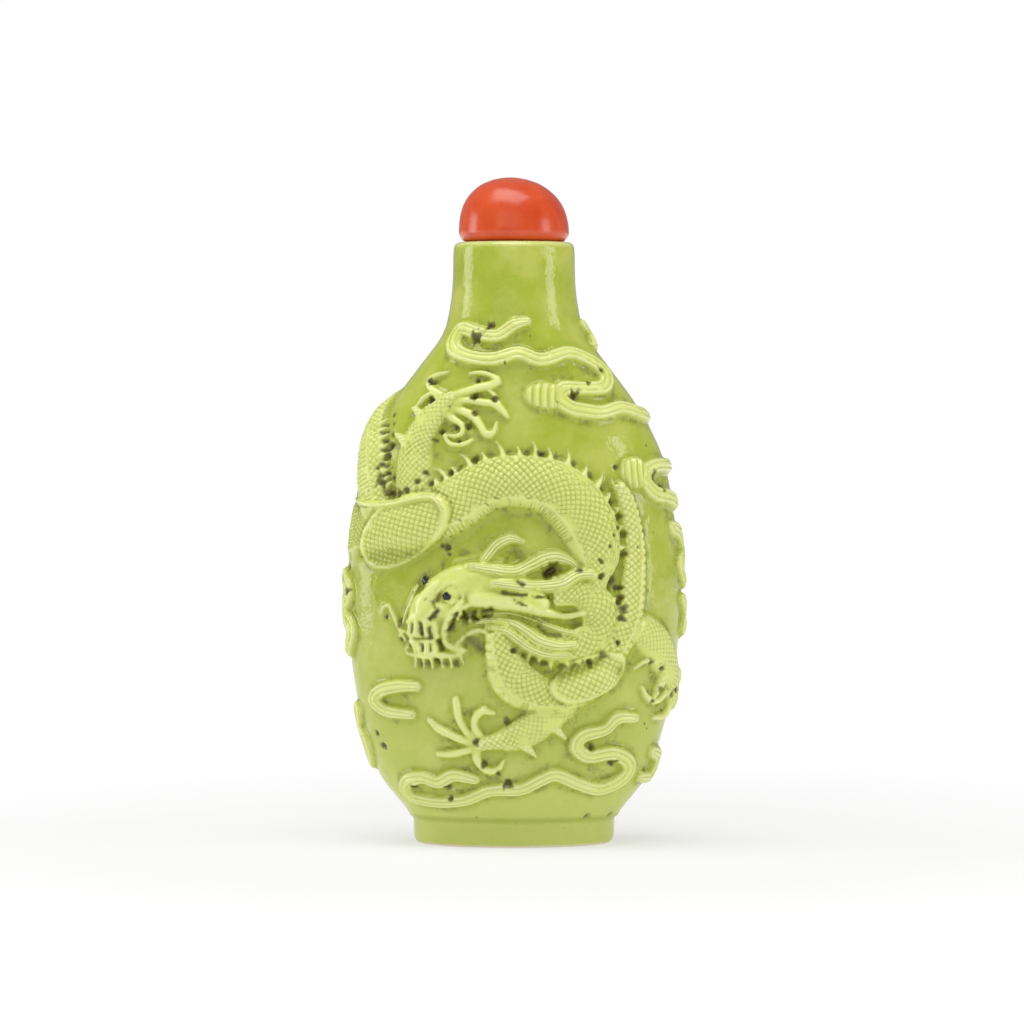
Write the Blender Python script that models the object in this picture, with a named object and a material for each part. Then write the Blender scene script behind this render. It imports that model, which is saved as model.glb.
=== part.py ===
"""Moulded porcelain snuff bottle with a dragon among clouds, and its coral stopper.

Metres, +Z up, the front towards -Y, the foot's underside on z = 0.
"""
import math

import bmesh
import bpy
import numpy as np
from mathutils import Vector
from mathutils.geometry import delaunay_2d_cdt

for old in list(bpy.data.objects):
    bpy.data.objects.remove(old, do_unlink=True)

MM = 0.001

# bottle
BOTTLE_HEIGHT = 68.6 * MM
BODY_HALF_WIDTH = 19.0 * MM
BORE_RADIUS = 3.25 * MM
BODY_WALL = 2.4 * MM
FLOOR_THICKNESS = 3.6 * MM
FOOT_TOP = 3.0 * MM
FOOT_HALF_WIDTH = 11.5 * MM
FOOT_RING_WIDTH = 1.5 * MM
FOOT_RECESS = 1.0 * MM
LIP_ROUND = 0.75 * MM
BORE_EASE = 0.25 * MM

# stopper
STOPPER_GAP = 0.3 * MM
STOPPER_RADIUS = 6.28 * MM
STOPPER_HEIGHT = 7.1 * MM
STOPPER_LEAN = 0.45 * MM
PLUG_CLEARANCE = 0.25 * MM
PLUG_LENGTH = 6.5 * MM

# relief heights above the plain body
BODY_RELIEF = 1.35 * MM
LIMB_RELIEF = 1.05 * MM
CLAW_RELIEF = 0.75 * MM
CLOUD_RELIEF = 0.75 * MM
HEAD_RELIEF = 1.4 * MM
LOCK_RELIEF = 0.6 * MM
SPINE_RELIEF = 0.55 * MM

# facets, and the chart's edges: its seam, its lowest and its highest row
COLUMNS = 48
INNER_COLUMNS = 24
STOPPER_COLUMNS = 28
ROW_STEP = 2.8 * MM
LINE_STEP = 1.5 * MM
MERGE_GAP = 0.16 * MM
CUT_ANGLE = 104.0
RELIEF_LOW = FOOT_TOP + 0.4 * MM
RELIEF_HIGH = 0.898 * BOTTLE_HEIGHT

# plain outline above the foot: share of the height, share of the body's half width
OUTLINE = [(0.044, 0.621), (0.06, 0.658), (0.079, 0.716), (0.108, 0.795), (0.149, 0.853), (0.208, 0.916),
           (0.305, 0.979), (0.437, 1.0), (0.554, 0.958), (0.657, 0.874), (0.738, 0.716), (0.797, 0.558),
           (0.848, 0.426), (0.898, 0.382), (1.0, 0.362)]

# depth over width: share of the height, ratio
DEPTH = [(0.0, 0.64), (0.3, 0.6), (0.6, 0.6), (0.74, 0.7), (0.87, 0.97), (0.93, 1.0), (1.0, 1.0)]

# Lines: angle from the front in degrees, percent of the height, half width in nineteenths of the body's.
STROKE = BODY_HALF_WIDTH / 19
BANDS = {
    "strip": [(-138, 73.5, 2.3), (-122, 73.5, 2.4), (-104, 71.5, 2.4), (-88, 69, 2.4), (-74, 65.5, 2.5),
              (-66, 61, 2.6), (-59, 56.5, 2.4)],
    "arch": [(-52, 53.5, 2.7), (-36, 53.9, 3.1), (-21.5, 56.7, 3.2), (-9, 60, 3.0), (4, 60.5, 3.1),
             (16, 58.9, 3.4), (24.5, 54.9, 3.6), (29, 50, 3.2), (28.5, 45.8, 2.0), (27.5, 42.9, 0.9)],
    "flank": [(40, 60.1, 0.7), (43.5, 57.1, 1.2), (45.5, 50.9, 1.4), (44.5, 44.4, 1.6), (42, 37.8, 1.8),
              (36, 32.6, 1.9)],
    "chest": [(-5, 36.1, 1.7), (-3.5, 32.2, 2.2), (0.5, 27.9, 2.7), (11, 25.4, 2.2), (22, 26.2, 2.0),
              (32.5, 28.4, 1.8)],
    "neck": [(13, 42.6, 1.9), (23, 42.6, 2.1), (29.5, 39.2, 2.4), (28, 35.3, 2.2), (16.5, 33.4, 1.9),
             (5.5, 34.8, 1.7), (-2, 36.4, 1.2)],
    "tail": [(-132, 74, 2.3), (-150, 71.5, 2.4), (-168, 66, 2.6), (-174, 56, 2.5), (-184, 47, 2.4),
             (-202, 41, 2.2), (-219, 34.5, 2.0), (-216, 25.5, 1.7), (-198, 20.5, 1.4), (-178, 23, 1.1),
             (-168, 29.5, 0.7)],
}

LIMBS = {
    "hind_up": [(-39, 59.4, 2.4), (-40.5, 63, 2.3), (-41, 66.5, 2.0), (-38, 71, 1.6), (-34, 72.9, 1.2),
                (-31, 74.2, 0.8)],
    "fore_low": [(16, 24.3, 2.2), (11, 22, 2.1), (5.5, 20, 2.0), (-0.8, 18.6, 1.5), (-7, 18.1, 1.1),
                 (-12.8, 17.5, 0.8)],
    "hind_right": [(38.5, 36.6, 1.7), (49, 35.8, 2.2), (60.5, 32.7, 2.4), (72, 28.4, 2.1), (78, 24.6, 1.4)],
    "back_leg": [(-178, 50, 1.9), (-160, 46, 2.0), (-146, 40.5, 1.7), (-137, 34, 1.2), (-131, 29.5, 0.8)],
}

CLAWS = [
    [(-37, 74.4, 0.6), (-44, 75.3, 0.5), (-48.5, 76, 0.5), (-46, 77.8, 0.3)],
    [(-37, 73.7, 0.5), (-45, 74.3, 0.4), (-50, 72.2, 0.3)],
    [(-32.5, 74.2, 0.7), (-18, 75.7, 0.6), (-11.5, 76.2, 0.6), (-9, 77, 0.5), (-18.5, 78.2, 0.3)],
    [(-28.5, 73.2, 0.7), (-15.5, 73.4, 0.5), (-5.5, 72.1, 0.5), (-2.5, 70.9, 0.3)],
    [(-29, 72.4, 0.7), (-18, 71.1, 0.6), (-12, 68.5, 0.5), (-7.5, 70, 0.3)],
    [(-31, 71.6, 0.7), (-22, 69.5, 0.5), (-24.3, 67.8, 0.3)],
    [(-43.5, 66.3, 1.2), (-51, 67.4, 0.6), (-55, 68, 0.3)],
    [(-39.5, 70.4, 1.2), (-46.6, 71.6, 0.6), (-50.5, 72, 0.3)],
    [(11.8, 21.7, 1.1), (16.3, 19.8, 0.6), (19, 18.8, 0.3)],
    [(1.5, 18.4, 1.0), (5.4, 16.9, 0.6), (7.7, 16, 0.3)],
    [(-15, 18.2, 0.6), (-19, 20.5, 0.5), (-21, 25, 0.4)],
    [(-15, 17.7, 0.6), (-24, 19, 0.5), (-32.7, 21.4, 0.3)],
    [(-15, 16.9, 0.6), (-20.3, 16.3, 0.5), (-30.9, 15.8, 0.3)],
    [(-14, 16.9, 0.7), (-14, 14.7, 0.5), (-9.4, 13.1, 0.5), (-4.5, 14.6, 0.3)],
    [(-12, 18.4, 0.6), (-14.7, 20.2, 0.5), (-13, 22.6, 0.5), (-7.7, 22.7, 0.3)],
    [(71, 26, 0.8), (62, 24.2, 0.5), (55, 25, 0.4), (52, 26.5, 0.3)],
    [(64, 29, 0.8), (59, 30.4, 0.5), (52.5, 31, 0.3), (46.5, 29.7, 0.2)],
    [(78, 24.4, 0.9), (73, 21.8, 0.6), (63, 21.4, 0.3)],
    [(-131, 29.5, 0.8), (-140, 25.5, 0.6), (-151, 25.5, 0.3)],
    [(-131, 29, 0.8), (-132, 23.5, 0.6), (-140, 20, 0.3)],
    [(-129, 29.5, 0.8), (-120, 26, 0.6), (-116, 21.5, 0.3)],
    [(-129, 31, 0.8), (-119, 32, 0.6), (-112, 29.5, 0.3)],
]

CLOUDS = [
    [(11, 86.7, 0.5), (-1, 86, 0.8), (-13, 84.2, 0.9), (-30, 84.7, 0.9), (-46, 85.4, 1.0), (-48, 82.8, 1.2),
     (-33, 81, 0.9), (-14, 80.4, 0.9), (2.5, 81.4, 0.9), (17, 80.3, 0.9), (37, 81.4, 0.9), (53.5, 80.1, 1.0),
     (61, 78, 1.3), (51.5, 75.8, 1.0), (35.5, 75.3, 0.9), (22, 75.7, 1.0), (13, 74.2, 1.2), (18, 72.4, 1.1),
     (30.5, 71.9, 1.0), (42.5, 71.7, 0.9), (56.5, 72.4, 0.9), (73, 71.5, 1.0), (88, 71, 0.9)],
    [(88, 62.8, 0.9), (68, 62.9, 0.9), (54, 61.3, 1.2), (60, 58.6, 1.0), (73, 57.8, 1.0), (88, 56.8, 1.0)],
    [(-36.5, 26.9, 0.6), (-45, 26.8, 0.8), (-54.5, 26, 0.9), (-60, 24.4, 1.1), (-53.5, 22.7, 0.8),
     (-40.5, 22.2, 0.6)],
    [(-16.5, 11.7, 0.6), (-25.5, 12.3, 0.8), (-33.5, 11.1, 0.8), (-42, 11.8, 0.8), (-52.5, 10.8, 1.0),
     (-55, 8.7, 0.9), (-39, 7.8, 0.8), (-23, 8.3, 0.8), (-10.5, 9.9, 0.8), (2.5, 10.1, 0.8), (11, 11.6, 0.8),
     (17.5, 12.4, 0.8), (27.5, 11, 0.8), (40, 10, 0.9), (51.5, 11.5, 1.0), (53.5, 13.8, 1.1),
     (42.5, 15.8, 0.9), (30.5, 15.4, 0.9), (24.5, 17, 0.9), (27, 18.9, 0.9), (36, 19.8, 0.8),
     (41, 21.6, 0.8), (50.5, 21.6, 0.6)],
    [(-88, 44.5, 1.1), (-78, 42, 1.4), (-84, 38.7, 1.4), (-74, 35.8, 1.2), (-80, 32.6, 1.1)],
    [(-82, 22.4, 1.1), (-90, 19.4, 1.5), (-84, 16.4, 1.5), (-90, 13.9, 1.1)],
    [(74, 52.6, 0.9), (86, 51.4, 1.2), (90, 48.6, 1.2), (80, 46.4, 0.9), (88, 43.5, 0.9)],
    [(84, 40.6, 0.9), (92, 38.6, 1.2), (88, 35.6, 0.9)],
    [(88, 28.2, 0.9), (93, 25.6, 1.1), (86, 23.4, 0.9)],
    [(72, 15.6, 0.8), (84, 14.4, 1.1), (80, 11.6, 0.9), (68, 11.4, 0.7)],
    [(76, 86.3, 0.6), (87, 84.5, 0.7), (78, 82.6, 0.6)],
    [(-248, 70, 0.9), (-232, 73.4, 0.9), (-212, 70, 0.9), (-199, 74.5, 0.9), (-211, 78.8, 0.9),
     (-230, 79.3, 0.9), (-226, 84, 0.8), (-206, 85.6, 0.8), (-184, 84.2, 0.8), (-160, 84.8, 0.7)],
    [(-152, 56.5, 0.7), (-138, 60.2, 0.9), (-122, 58, 1.0), (-128, 53.6, 0.9), (-142, 51.5, 0.8),
     (-128, 47.5, 0.8), (-112, 49, 0.7)],
    [(-246, 57, 0.8), (-232, 60.4, 0.9), (-214, 58.6, 0.9), (-206, 54.6, 0.9), (-220, 51.4, 0.9),
     (-238, 52, 0.8), (-248, 48, 0.7)],
    [(-242, 12.5, 0.7), (-226, 10, 0.8), (-210, 12.6, 0.8), (-196, 9.8, 0.8), (-180, 10.4, 0.8),
     (-164, 12.6, 0.8), (-148, 9.8, 0.8), (-132, 12, 0.9), (-128, 16.6, 0.9), (-144, 18, 0.8),
     (-156, 15.6, 0.6)],
    [(-248, 39, 0.7), (-238, 42, 0.9), (-230, 38, 0.9), (-240, 33, 0.9), (-246, 27, 0.8), (-234, 24, 0.7)],
]

# Head: ground masses, then the raised parts on them.
HEAD_MASSES = [
    [(-26, 42.5, 1.9), (-18, 43.7, 2.5), (-8, 43.9, 2.7), (0, 42.6, 2.2), (8.5, 40.6, 1.2)],
    [(-21.5, 40.3, 2.0), (-28.5, 40.2, 2.2), (-31.5, 37.6, 2.1), (-32, 35, 1.8), (-29.5, 33, 1.2)],
]
HEAD_PARTS = [
    [(-10.5, 47.3, 0.6), (-7, 48.8, 0.8), (-4.5, 50.1, 0.8), (-1.5, 51, 0.6), (2, 51.2, 0.3)],
    [(-15, 46.7, 0.5), (-6.5, 46, 0.8), (0.5, 45.7, 0.9), (5.5, 46.8, 1.0), (10.5, 47.8, 1.0),
     (18.5, 47.9, 0.6)],
    [(-6, 43.9, 0.6), (2, 43.4, 0.8), (9, 43.3, 0.9), (15.5, 43.7, 0.9), (21.5, 45, 0.7), (27, 45.5, 0.3)],
    [(-12.5, 41.6, 1.1), (-3.5, 41, 1.0), (3.5, 40.2, 0.8), (10.5, 39.2, 0.7), (17.5, 38.5, 0.6)],
    [(-8, 39, 0.5), (-1.5, 39, 0.6), (5, 38.2, 0.7), (10.5, 37.1, 0.6), (16.5, 36.1, 0.5)],
    [(-12.5, 37.7, 0.5), (-6.5, 37.9, 0.6), (-0.5, 37.4, 0.7), (4, 36.1, 0.8), (8, 34.6, 0.8),
     (14.5, 33.8, 0.6)],
    [(-26.5, 43.5, 0.6), (-28.5, 42, 0.9), (-30.5, 40.4, 1.1), (-32, 39.1, 0.7)],
    [(-38, 37.5, 0.3), (-33.5, 38.2, 0.4), (-29, 37.8, 0.4), (-26.5, 35, 0.3)],
    [(-17, 41, 0.4), (-20, 39.5, 0.5), (-24.3, 36, 0.6), (-24, 34.2, 0.6), (-18, 33.1, 0.4)],
    [(-38.5, 32.3, 0.4), (-33, 32, 0.5), (-26.5, 32.1, 0.5), (-20.5, 32.1, 0.5)],
    [(-21.5, 33.2, 0.4), (-18, 34.6, 0.5), (-11, 36.2, 0.4)],
    [(-40, 34.6, 0.3), (-43, 36.7, 0.3), (-47, 39.8, 0.3), (-51, 39.2, 0.3)],
    [(-22, 42.1, 0.6), (-20.6, 41.7, 0.6)],
]

# Haunch and shoulder: centre angle, percent of height, half length and half height, turn in degrees.
OVALS = [(-42, 52.3, 6.3, 3.5, 32), (26.9, 28.5, 4.7, 2.4, 20)]

# Rounded heads of two clouds, given the same way.
CLOUD_HEADS = [(16, 74.4, 2.7, 1.6, -6), (51, 61.8, 2.1, 1.8, 0)]

# Fins along a band's left-hand edge: band, first and last share of its length, count, length, side.
FINS = [("arch", 0.16, 0.86, 17, 1.5, 1), ("neck", 0.14, 0.86, 11, 1.0, 1), ("strip", 0.62, 0.98, 6, 1.1, 1),
        ("tail", 0.12, 0.9, 12, 1.2, -1)]


def smooth(stations, at):
    """Cubic curve through the stations, its slopes taken from their neighbours."""
    x, y = (np.array(column, float) for column in zip(*stations))
    step = np.diff(x)
    rise = np.diff(y) / step
    inner = (rise[:-1] * step[1:] + rise[1:] * step[:-1]) / (step[:-1] + step[1:])
    slope = np.concatenate(([rise[0]], inner, [rise[-1]]))
    at = np.clip(np.asarray(at, float), x[0], x[-1])
    i = np.clip(np.searchsorted(x, at) - 1, 0, len(step) - 1)
    t = (at - x[i]) / step[i]
    h = step[i]
    return ((1 + 2 * t) * (1 - t) ** 2 * y[i] + t * (1 - t) ** 2 * h * slope[i]
            + t * t * (3 - 2 * t) * y[i + 1] + t * t * (t - 1) * h * slope[i + 1])


def half_width(z):
    """Half width of the plain bottle at height z."""
    return BODY_HALF_WIDTH * smooth(OUTLINE, np.asarray(z) / BOTTLE_HEIGHT)


def half_depth(z):
    """Half depth of the plain bottle at height z."""
    return half_width(z) * smooth(DEPTH, np.asarray(z) / BOTTLE_HEIGHT)


def frame(angle, z):
    """Point, two tangents and outward normal of the plain bottle."""
    turn = np.radians(angle)
    a, b = half_width(z), half_depth(z)
    step = 0.1 * MERGE_GAP
    da = (half_width(z + step) - half_width(z - step)) / (2 * step)
    db = (half_depth(z + step) - half_depth(z - step)) / (2 * step)
    s, c = np.sin(turn), np.cos(turn)
    point = np.stack([a * s, -b * c, z + 0 * s], -1)
    along = np.stack([a * c, b * s, 0 * s], -1) * math.radians(1)
    up = np.stack([da * s, -db * c, 1 + 0 * s], -1)
    normal = np.cross(along, up)
    return point, along, up, normal / np.linalg.norm(normal, axis=-1, keepdims=True)


def shifted(angle, z, vector):
    """Chart place reached by going along a tangent vector."""
    _, along, up, _ = frame(angle, z)
    e, f, g = (along * along).sum(-1), (along * up).sum(-1), (up * up).sum(-1)
    p, q = (vector * along).sum(-1), (vector * up).sum(-1)
    det = e * g - f * f
    return angle + (g * p - f * q) / det, z + (e * q - f * p) / det


def curve(points, spacing):
    """Evenly spaced chart points and half widths along a smooth curve through the given ones."""
    knots = np.array(points, float) * (1, BOTTLE_HEIGHT / 100, STROKE)
    index = np.arange(len(knots))
    fine = np.linspace(0, len(knots) - 1, 24 * len(knots))
    dense = np.stack([smooth(list(zip(index, knots[:, k])), fine) for k in range(3)], -1)
    place = frame(dense[:, 0], dense[:, 1])[0]
    length = np.concatenate(([0], np.cumsum(np.linalg.norm(np.diff(place, axis=0), axis=1))))
    count = max(3, int(round(length[-1] / spacing)) + 1)
    even = np.linspace(0, length[-1], count)
    return np.stack([np.interp(even, length, dense[:, k]) for k in range(3)], -1)


def distance_share(places, point, half):
    """Distance to a line over its half width there, the least over its segments."""
    span = np.diff(point, axis=0)
    away = places[:, None, :] - point[None, :-1, :]
    t = np.clip((away * span).sum(-1) / (span * span).sum(-1), 0, 1)
    gap = np.linalg.norm(away - t[..., None] * span, axis=-1)
    return (gap / (half[:-1] + np.diff(half) * t)).min(axis=1)


def oval_share(places, oval):
    """Elliptical distance from an oval's centre over its size."""
    centre, right, upward, outward = oval_axes(oval)
    away = places - centre
    x, y, z = away @ right, away @ upward, away @ outward
    return np.sqrt((x / (oval[2] * STROKE)) ** 2 + (y / (oval[3] * STROKE)) ** 2 + (z / (4 * STROKE)) ** 4)


def oval_axes(oval):
    """Centre and axes of an oval lying on the bottle."""
    angle, z = np.array(float(oval[0])), np.array(oval[1] / 100 * BOTTLE_HEIGHT)
    point, along, _, outward = frame(angle, z)
    along = along / np.linalg.norm(along)
    upward = np.cross(outward, along)
    turn = math.radians(oval[4])
    right = along * math.cos(turn) + upward * math.sin(turn)
    return point, right, np.cross(outward, right), outward


class Raised:
    """One raised part: its line or oval, its height and how square its top is."""

    def __init__(self, line, height, power, lanes, on_top=False, oval=None):
        self.line, self.height, self.power = line, height, power
        self.lanes, self.on_top, self.oval = lanes, on_top, oval
        if oval:
            self.point = oval_axes(oval)[0][None, :]
            reach = max(oval[2], oval[3]) * STROKE
        else:
            self.point = frame(line[:, 0], line[:, 1])[0]
            reach = line[:, 2].max()
        self.low = self.point.min(axis=0) - reach
        self.high = self.point.max(axis=0) + reach

    def share(self, places):
        if self.oval:
            return oval_share(places, self.oval)
        return distance_share(places, self.point, self.line[:, 2])

    def lift(self, places):
        near = ((places >= self.low) & (places <= self.high)).all(axis=1)
        lift = np.zeros(len(places))
        if near.any():
            inside = np.clip(1 - self.share(places[near]) ** self.power, 0, 1)
            lift[near] = self.height * inside ** 0.62
        return lift


def fins(line, first, last, count, length, side):
    """Short pointed fins standing off one edge of a band."""
    made = []
    for k in range(count):
        at = (first + (last - first) * k / (count - 1)) * (len(line) - 1)
        i = min(int(at), len(line) - 2)
        here = line[i] + (line[i + 1] - line[i]) * (at - i)
        point, _, _, outward = frame(here[0:1], here[1:2])
        ahead = frame(line[i + 1:i + 2, 0], line[i + 1:i + 2, 1])[0]
        behind = frame(line[i:i + 1, 0], line[i:i + 1, 1])[0]
        tangent = (ahead - behind) / np.linalg.norm(ahead - behind)
        sideways = np.cross(outward, tangent) * side
        reach = (0.6 if k % 2 else 1.0) * length * STROKE
        row = []
        for share, half in ((-0.1, 0.42), (1.0, 0.2)):
            vector = sideways * (here[2] + share * reach) - tangent * 0.35 * share * reach
            angle, z = shifted(here[0:1], here[1:2], vector)
            row.append((angle[0], z[0], half * STROKE))
        made.append(np.array(row))
    return made


def relief_parts():
    """Every raised part of the bottle."""
    parts = []
    lines = {name: curve(points, LINE_STEP) for name, points in BANDS.items()}
    for line in lines.values():
        parts.append(Raised(line, BODY_RELIEF, 2.4, (0.0, 0.55, 0.9)))
    for points in LIMBS.values():
        parts.append(Raised(curve(points, LINE_STEP), LIMB_RELIEF, 2.4, (0.0, 0.7)))
    for points in CLAWS:
        parts.append(Raised(curve(points, 0.87 * LINE_STEP), CLAW_RELIEF, 2.0, (0.0,)))
    for points in CLOUDS:
        parts.append(Raised(curve(points, LINE_STEP), CLOUD_RELIEF, 3.0, (0.6,)))
    for oval in CLOUD_HEADS:
        parts.append(Raised(None, CLOUD_RELIEF, 3.0, (0.6,), False, oval))
    for points in HEAD_MASSES:
        parts.append(Raised(curve(points, 1.07 * LINE_STEP), HEAD_RELIEF, 2.4, (0.0, 0.7)))
    for oval in OVALS:
        parts.append(Raised(None, BODY_RELIEF * 1.2, 2.6, (0.5, 0.84), False, oval))
    for points in HEAD_PARTS:
        parts.append(Raised(curve(points, 0.73 * LINE_STEP), LOCK_RELIEF, 2.0, (0.0,), True))
    for name, first, last, count, length, side in FINS:
        for line in fins(lines[name], first, last, count, length, side):
            parts.append(Raised(line, SPINE_RELIEF, 2.0, (0.0,)))
    return parts


def lift_of(places, parts, skip=None):
    """Height of the relief: the highest ground part, and the highest part standing on it."""
    ground = np.zeros(len(places))
    top = np.zeros(len(places))
    for part in parts:
        if part is skip:
            continue
        if part.on_top:
            top = np.maximum(top, part.lift(places))
        else:
            ground = np.maximum(ground, part.lift(places))
    return ground + top


def reaches(part, others, sideways):
    """For each place along a part's line, the share of its half width up to which it shows on one side."""
    line = part.line
    shares = np.linspace(0, 1, 11)[1:]
    vector = sideways[:, None, :] * (shares[None, :] * line[:, 2:3])[..., None]
    whole = (len(line), len(shares))
    angle = np.broadcast_to(line[:, 0:1], whole).ravel()
    z = np.broadcast_to(line[:, 1:2], whole).ravel()
    places = frame(*shifted(angle, z, vector.reshape(-1, 3)))[0]
    blocked = part.share(places) < np.tile(shares, len(line)) - 0.08
    if not part.on_top:
        blocked |= lift_of(places, others, part) > part.lift(places) + 0.25 * MERGE_GAP
    blocked = blocked.reshape(whole)
    first = np.where(blocked.any(axis=1), blocked.argmax(axis=1), len(shares))
    return np.where(first == len(shares), 1.0, shares[np.minimum(first, len(shares) - 1)] - 0.05)


def part_strings(part, others):
    """Chart strings that outline one part: its edges, its lanes and its rounded ends."""
    strings = []
    if part.oval:
        _, right, upward, _ = oval_axes(part.oval)
        angle, z = float(part.oval[0]), part.oval[1] / 100 * BOTTLE_HEIGHT
        for share in part.lanes + (1.0,):
            turn = np.linspace(0, 2 * math.pi, 19 if share > 0.6 else 11)
            vector = (np.cos(turn)[:, None] * right * part.oval[2]
                      + np.sin(turn)[:, None] * upward * part.oval[3]) * share * STROKE
            a, h = shifted(np.full(len(turn), angle), np.full(len(turn), z), vector)
            strings.append(list(zip(a, h)))
        strings.append([(angle, z)])
        return [kept for string in strings for kept in visible(string, part, others)]
    line = part.line
    point, _, _, outward = frame(line[:, 0], line[:, 1])
    tangent = np.gradient(point, axis=0)
    tangent /= np.linalg.norm(tangent, axis=1, keepdims=True)
    sideways = np.cross(outward, tangent)
    lanes = {}
    shown = {side: reaches(part, others, side * sideways) for side in (1, -1)}
    for k, (angle, z, half) in enumerate(line):
        for side in (1, -1):
            reach = shown[side][k]
            if reach < 0.12:
                continue
            shares = [s for s in part.lanes if s < reach - 0.18] + [reach]
            for share in shares:
                lane = (side if share > 0 else 0, share if share in part.lanes else 1.0)
                a, h = shifted(angle, z, side * sideways[k] * share * half)
                lanes.setdefault(lane, {})[k] = (float(a), float(h))
    for k, sign in ((0, -1), (len(line) - 1, 1)):
        half = line[k, 2]
        for turn in ((-50, 0, 50) if half > 0.95 * STROKE else (0,)):
            turn = math.radians(turn)
            vector = sign * tangent[k] * math.cos(turn) + sideways[k] * math.sin(turn)
            a, h = shifted(line[k, 0], line[k, 1], vector * half)
            place = frame(a[None], h[None])[0]
            if part.on_top or lift_of(place, others, part)[0] < 0.6 * MERGE_GAP:
                strings.append([(float(a), float(h))])
    for row in lanes.values():
        run = []
        for k in range(len(line)):
            if k in row:
                run.append(row[k])
            elif run:
                strings.append(run)
                run = []
        if run:
            strings.append(run)
    return strings


def visible(string, part, others):
    """Runs of a string where the part is not covered by another."""
    places = frame(np.array([s[0] for s in string]), np.array([s[1] for s in string]))[0]
    shown = lift_of(places, others, part) <= part.lift(places) + 0.5 * MERGE_GAP
    runs = []
    run = []
    for item, flag in zip(string, shown):
        if flag:
            run.append(item)
        elif run:
            runs.append(run)
            run = []
    if run:
        runs.append(run)
    return runs


class Sheet:
    """Flat sheet the relief is triangulated on: arc length of the middle ellipse, and profile length."""

    def __init__(self):
        middle = 0.45 * BOTTLE_HEIGHT
        self.angles = np.linspace(CUT_ANGLE - 360, CUT_ANGLE, 1441)
        ring = frame(self.angles, np.full(1441, middle))[0]
        self.arc = np.concatenate(([0], np.cumsum(np.linalg.norm(np.diff(ring, axis=0), axis=1))))
        self.heights = np.linspace(RELIEF_LOW, RELIEF_HIGH, 800)
        side = np.stack([0.8 * half_width(self.heights), self.heights], -1)
        self.rise = np.concatenate(([0], np.cumsum(np.linalg.norm(np.diff(side, axis=0), axis=1))))

    def flat(self, angle, z):
        along = np.interp(angle, self.angles, self.arc)
        return along / STROKE, np.interp(z, self.heights, self.rise) / STROKE

    def back(self, x, y):
        angle = np.interp(x * STROKE, self.arc, self.angles)
        return angle, np.interp(y * STROKE, self.rise, self.heights)


def relief_mesh(parts):
    """Chart vertices and triangles of the relief zone."""
    sheet = Sheet()
    points = []
    edges = []
    columns = [CUT_ANGLE - 360 + 360 * k / COLUMNS for k in range(COLUMNS + 1)]
    rows = int(round(sheet.rise[-1] / ROW_STEP))
    levels = np.interp(np.linspace(0, sheet.rise[-1], rows + 1), sheet.rise, sheet.heights)
    rim = [(columns[k], levels[0]) for k in range(COLUMNS + 1)]
    rim += [(columns[-1], levels[j]) for j in range(1, rows + 1)]
    rim += [(columns[k], levels[-1]) for k in range(COLUMNS - 1, -1, -1)]
    rim += [(columns[0], levels[j]) for j in range(rows - 1, 0, -1)]
    points += [sheet.flat(*item) for item in rim]
    edges += [(k, (k + 1) % len(rim)) for k in range(len(rim))]
    stagger = 180 / COLUMNS
    grid = np.array([(columns[k] + (stagger if j % 2 else 0), levels[j]) for j in range(1, rows)
                     for k in range(1 if j % 2 == 0 else 0, COLUMNS)])
    grid = grid[(grid[:, 0] > columns[0] + 2) & (grid[:, 0] < columns[-1] - 2)]
    places = frame(grid[:, 0], grid[:, 1])[0]
    free = np.ones(len(grid), bool)
    for part in parts:
        if part.oval:
            free &= part.share(places) > 1.18
            continue
        half = part.line[:, 2].mean()
        free &= (part.share(places) - 1) * half > 0.6 * STROKE
    points += [sheet.flat(*item) for item in grid[free]]
    for part in parts:
        for string in part_strings(part, parts):
            start = len(points)
            points += [sheet.flat(*item) for item in string]
            edges += [(start + k, start + k + 1) for k in range(len(string) - 1)]
    result = delaunay_2d_cdt([Vector(item) for item in points], edges, [], 0, MERGE_GAP / STROKE)
    flat = np.array([tuple(item) for item in result[0]])
    angle, z = sheet.back(flat[:, 0], flat[:, 1])
    return angle, z, result[2]


def add_ring(mesh, z, a, b, count=COLUMNS, start=CUT_ANGLE):
    """One oval ring of vertices."""
    turn = [math.radians(start - 360 + 360 * k / count) for k in range(count)]
    return [mesh.verts.new((a * math.sin(t), -b * math.cos(t), z)) for t in turn]


def bridge(mesh, lower, upper):
    """Faces between two rings, the upper one having as many vertices as the lower or half as many."""
    n, m = len(lower), len(upper)
    if n == m:
        for k in range(n):
            mesh.faces.new((lower[k], lower[(k + 1) % n], upper[(k + 1) % n], upper[k]))
        return
    for k in range(m):
        mesh.faces.new((lower[2 * k], lower[2 * k + 1], upper[k]))
        mesh.faces.new((lower[2 * k + 1], upper[(k + 1) % m], upper[k]))
        mesh.faces.new((lower[2 * k + 1], lower[(2 * k + 2) % n], upper[(k + 1) % m]))


def cap(mesh, ring, z):
    """Fan closing a ring at a centre point."""
    x = sum(v.co.x for v in ring) / len(ring)
    centre = mesh.verts.new((x, 0, z))
    for k in range(len(ring)):
        mesh.faces.new((ring[k], ring[(k + 1) % len(ring)], centre))


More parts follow.
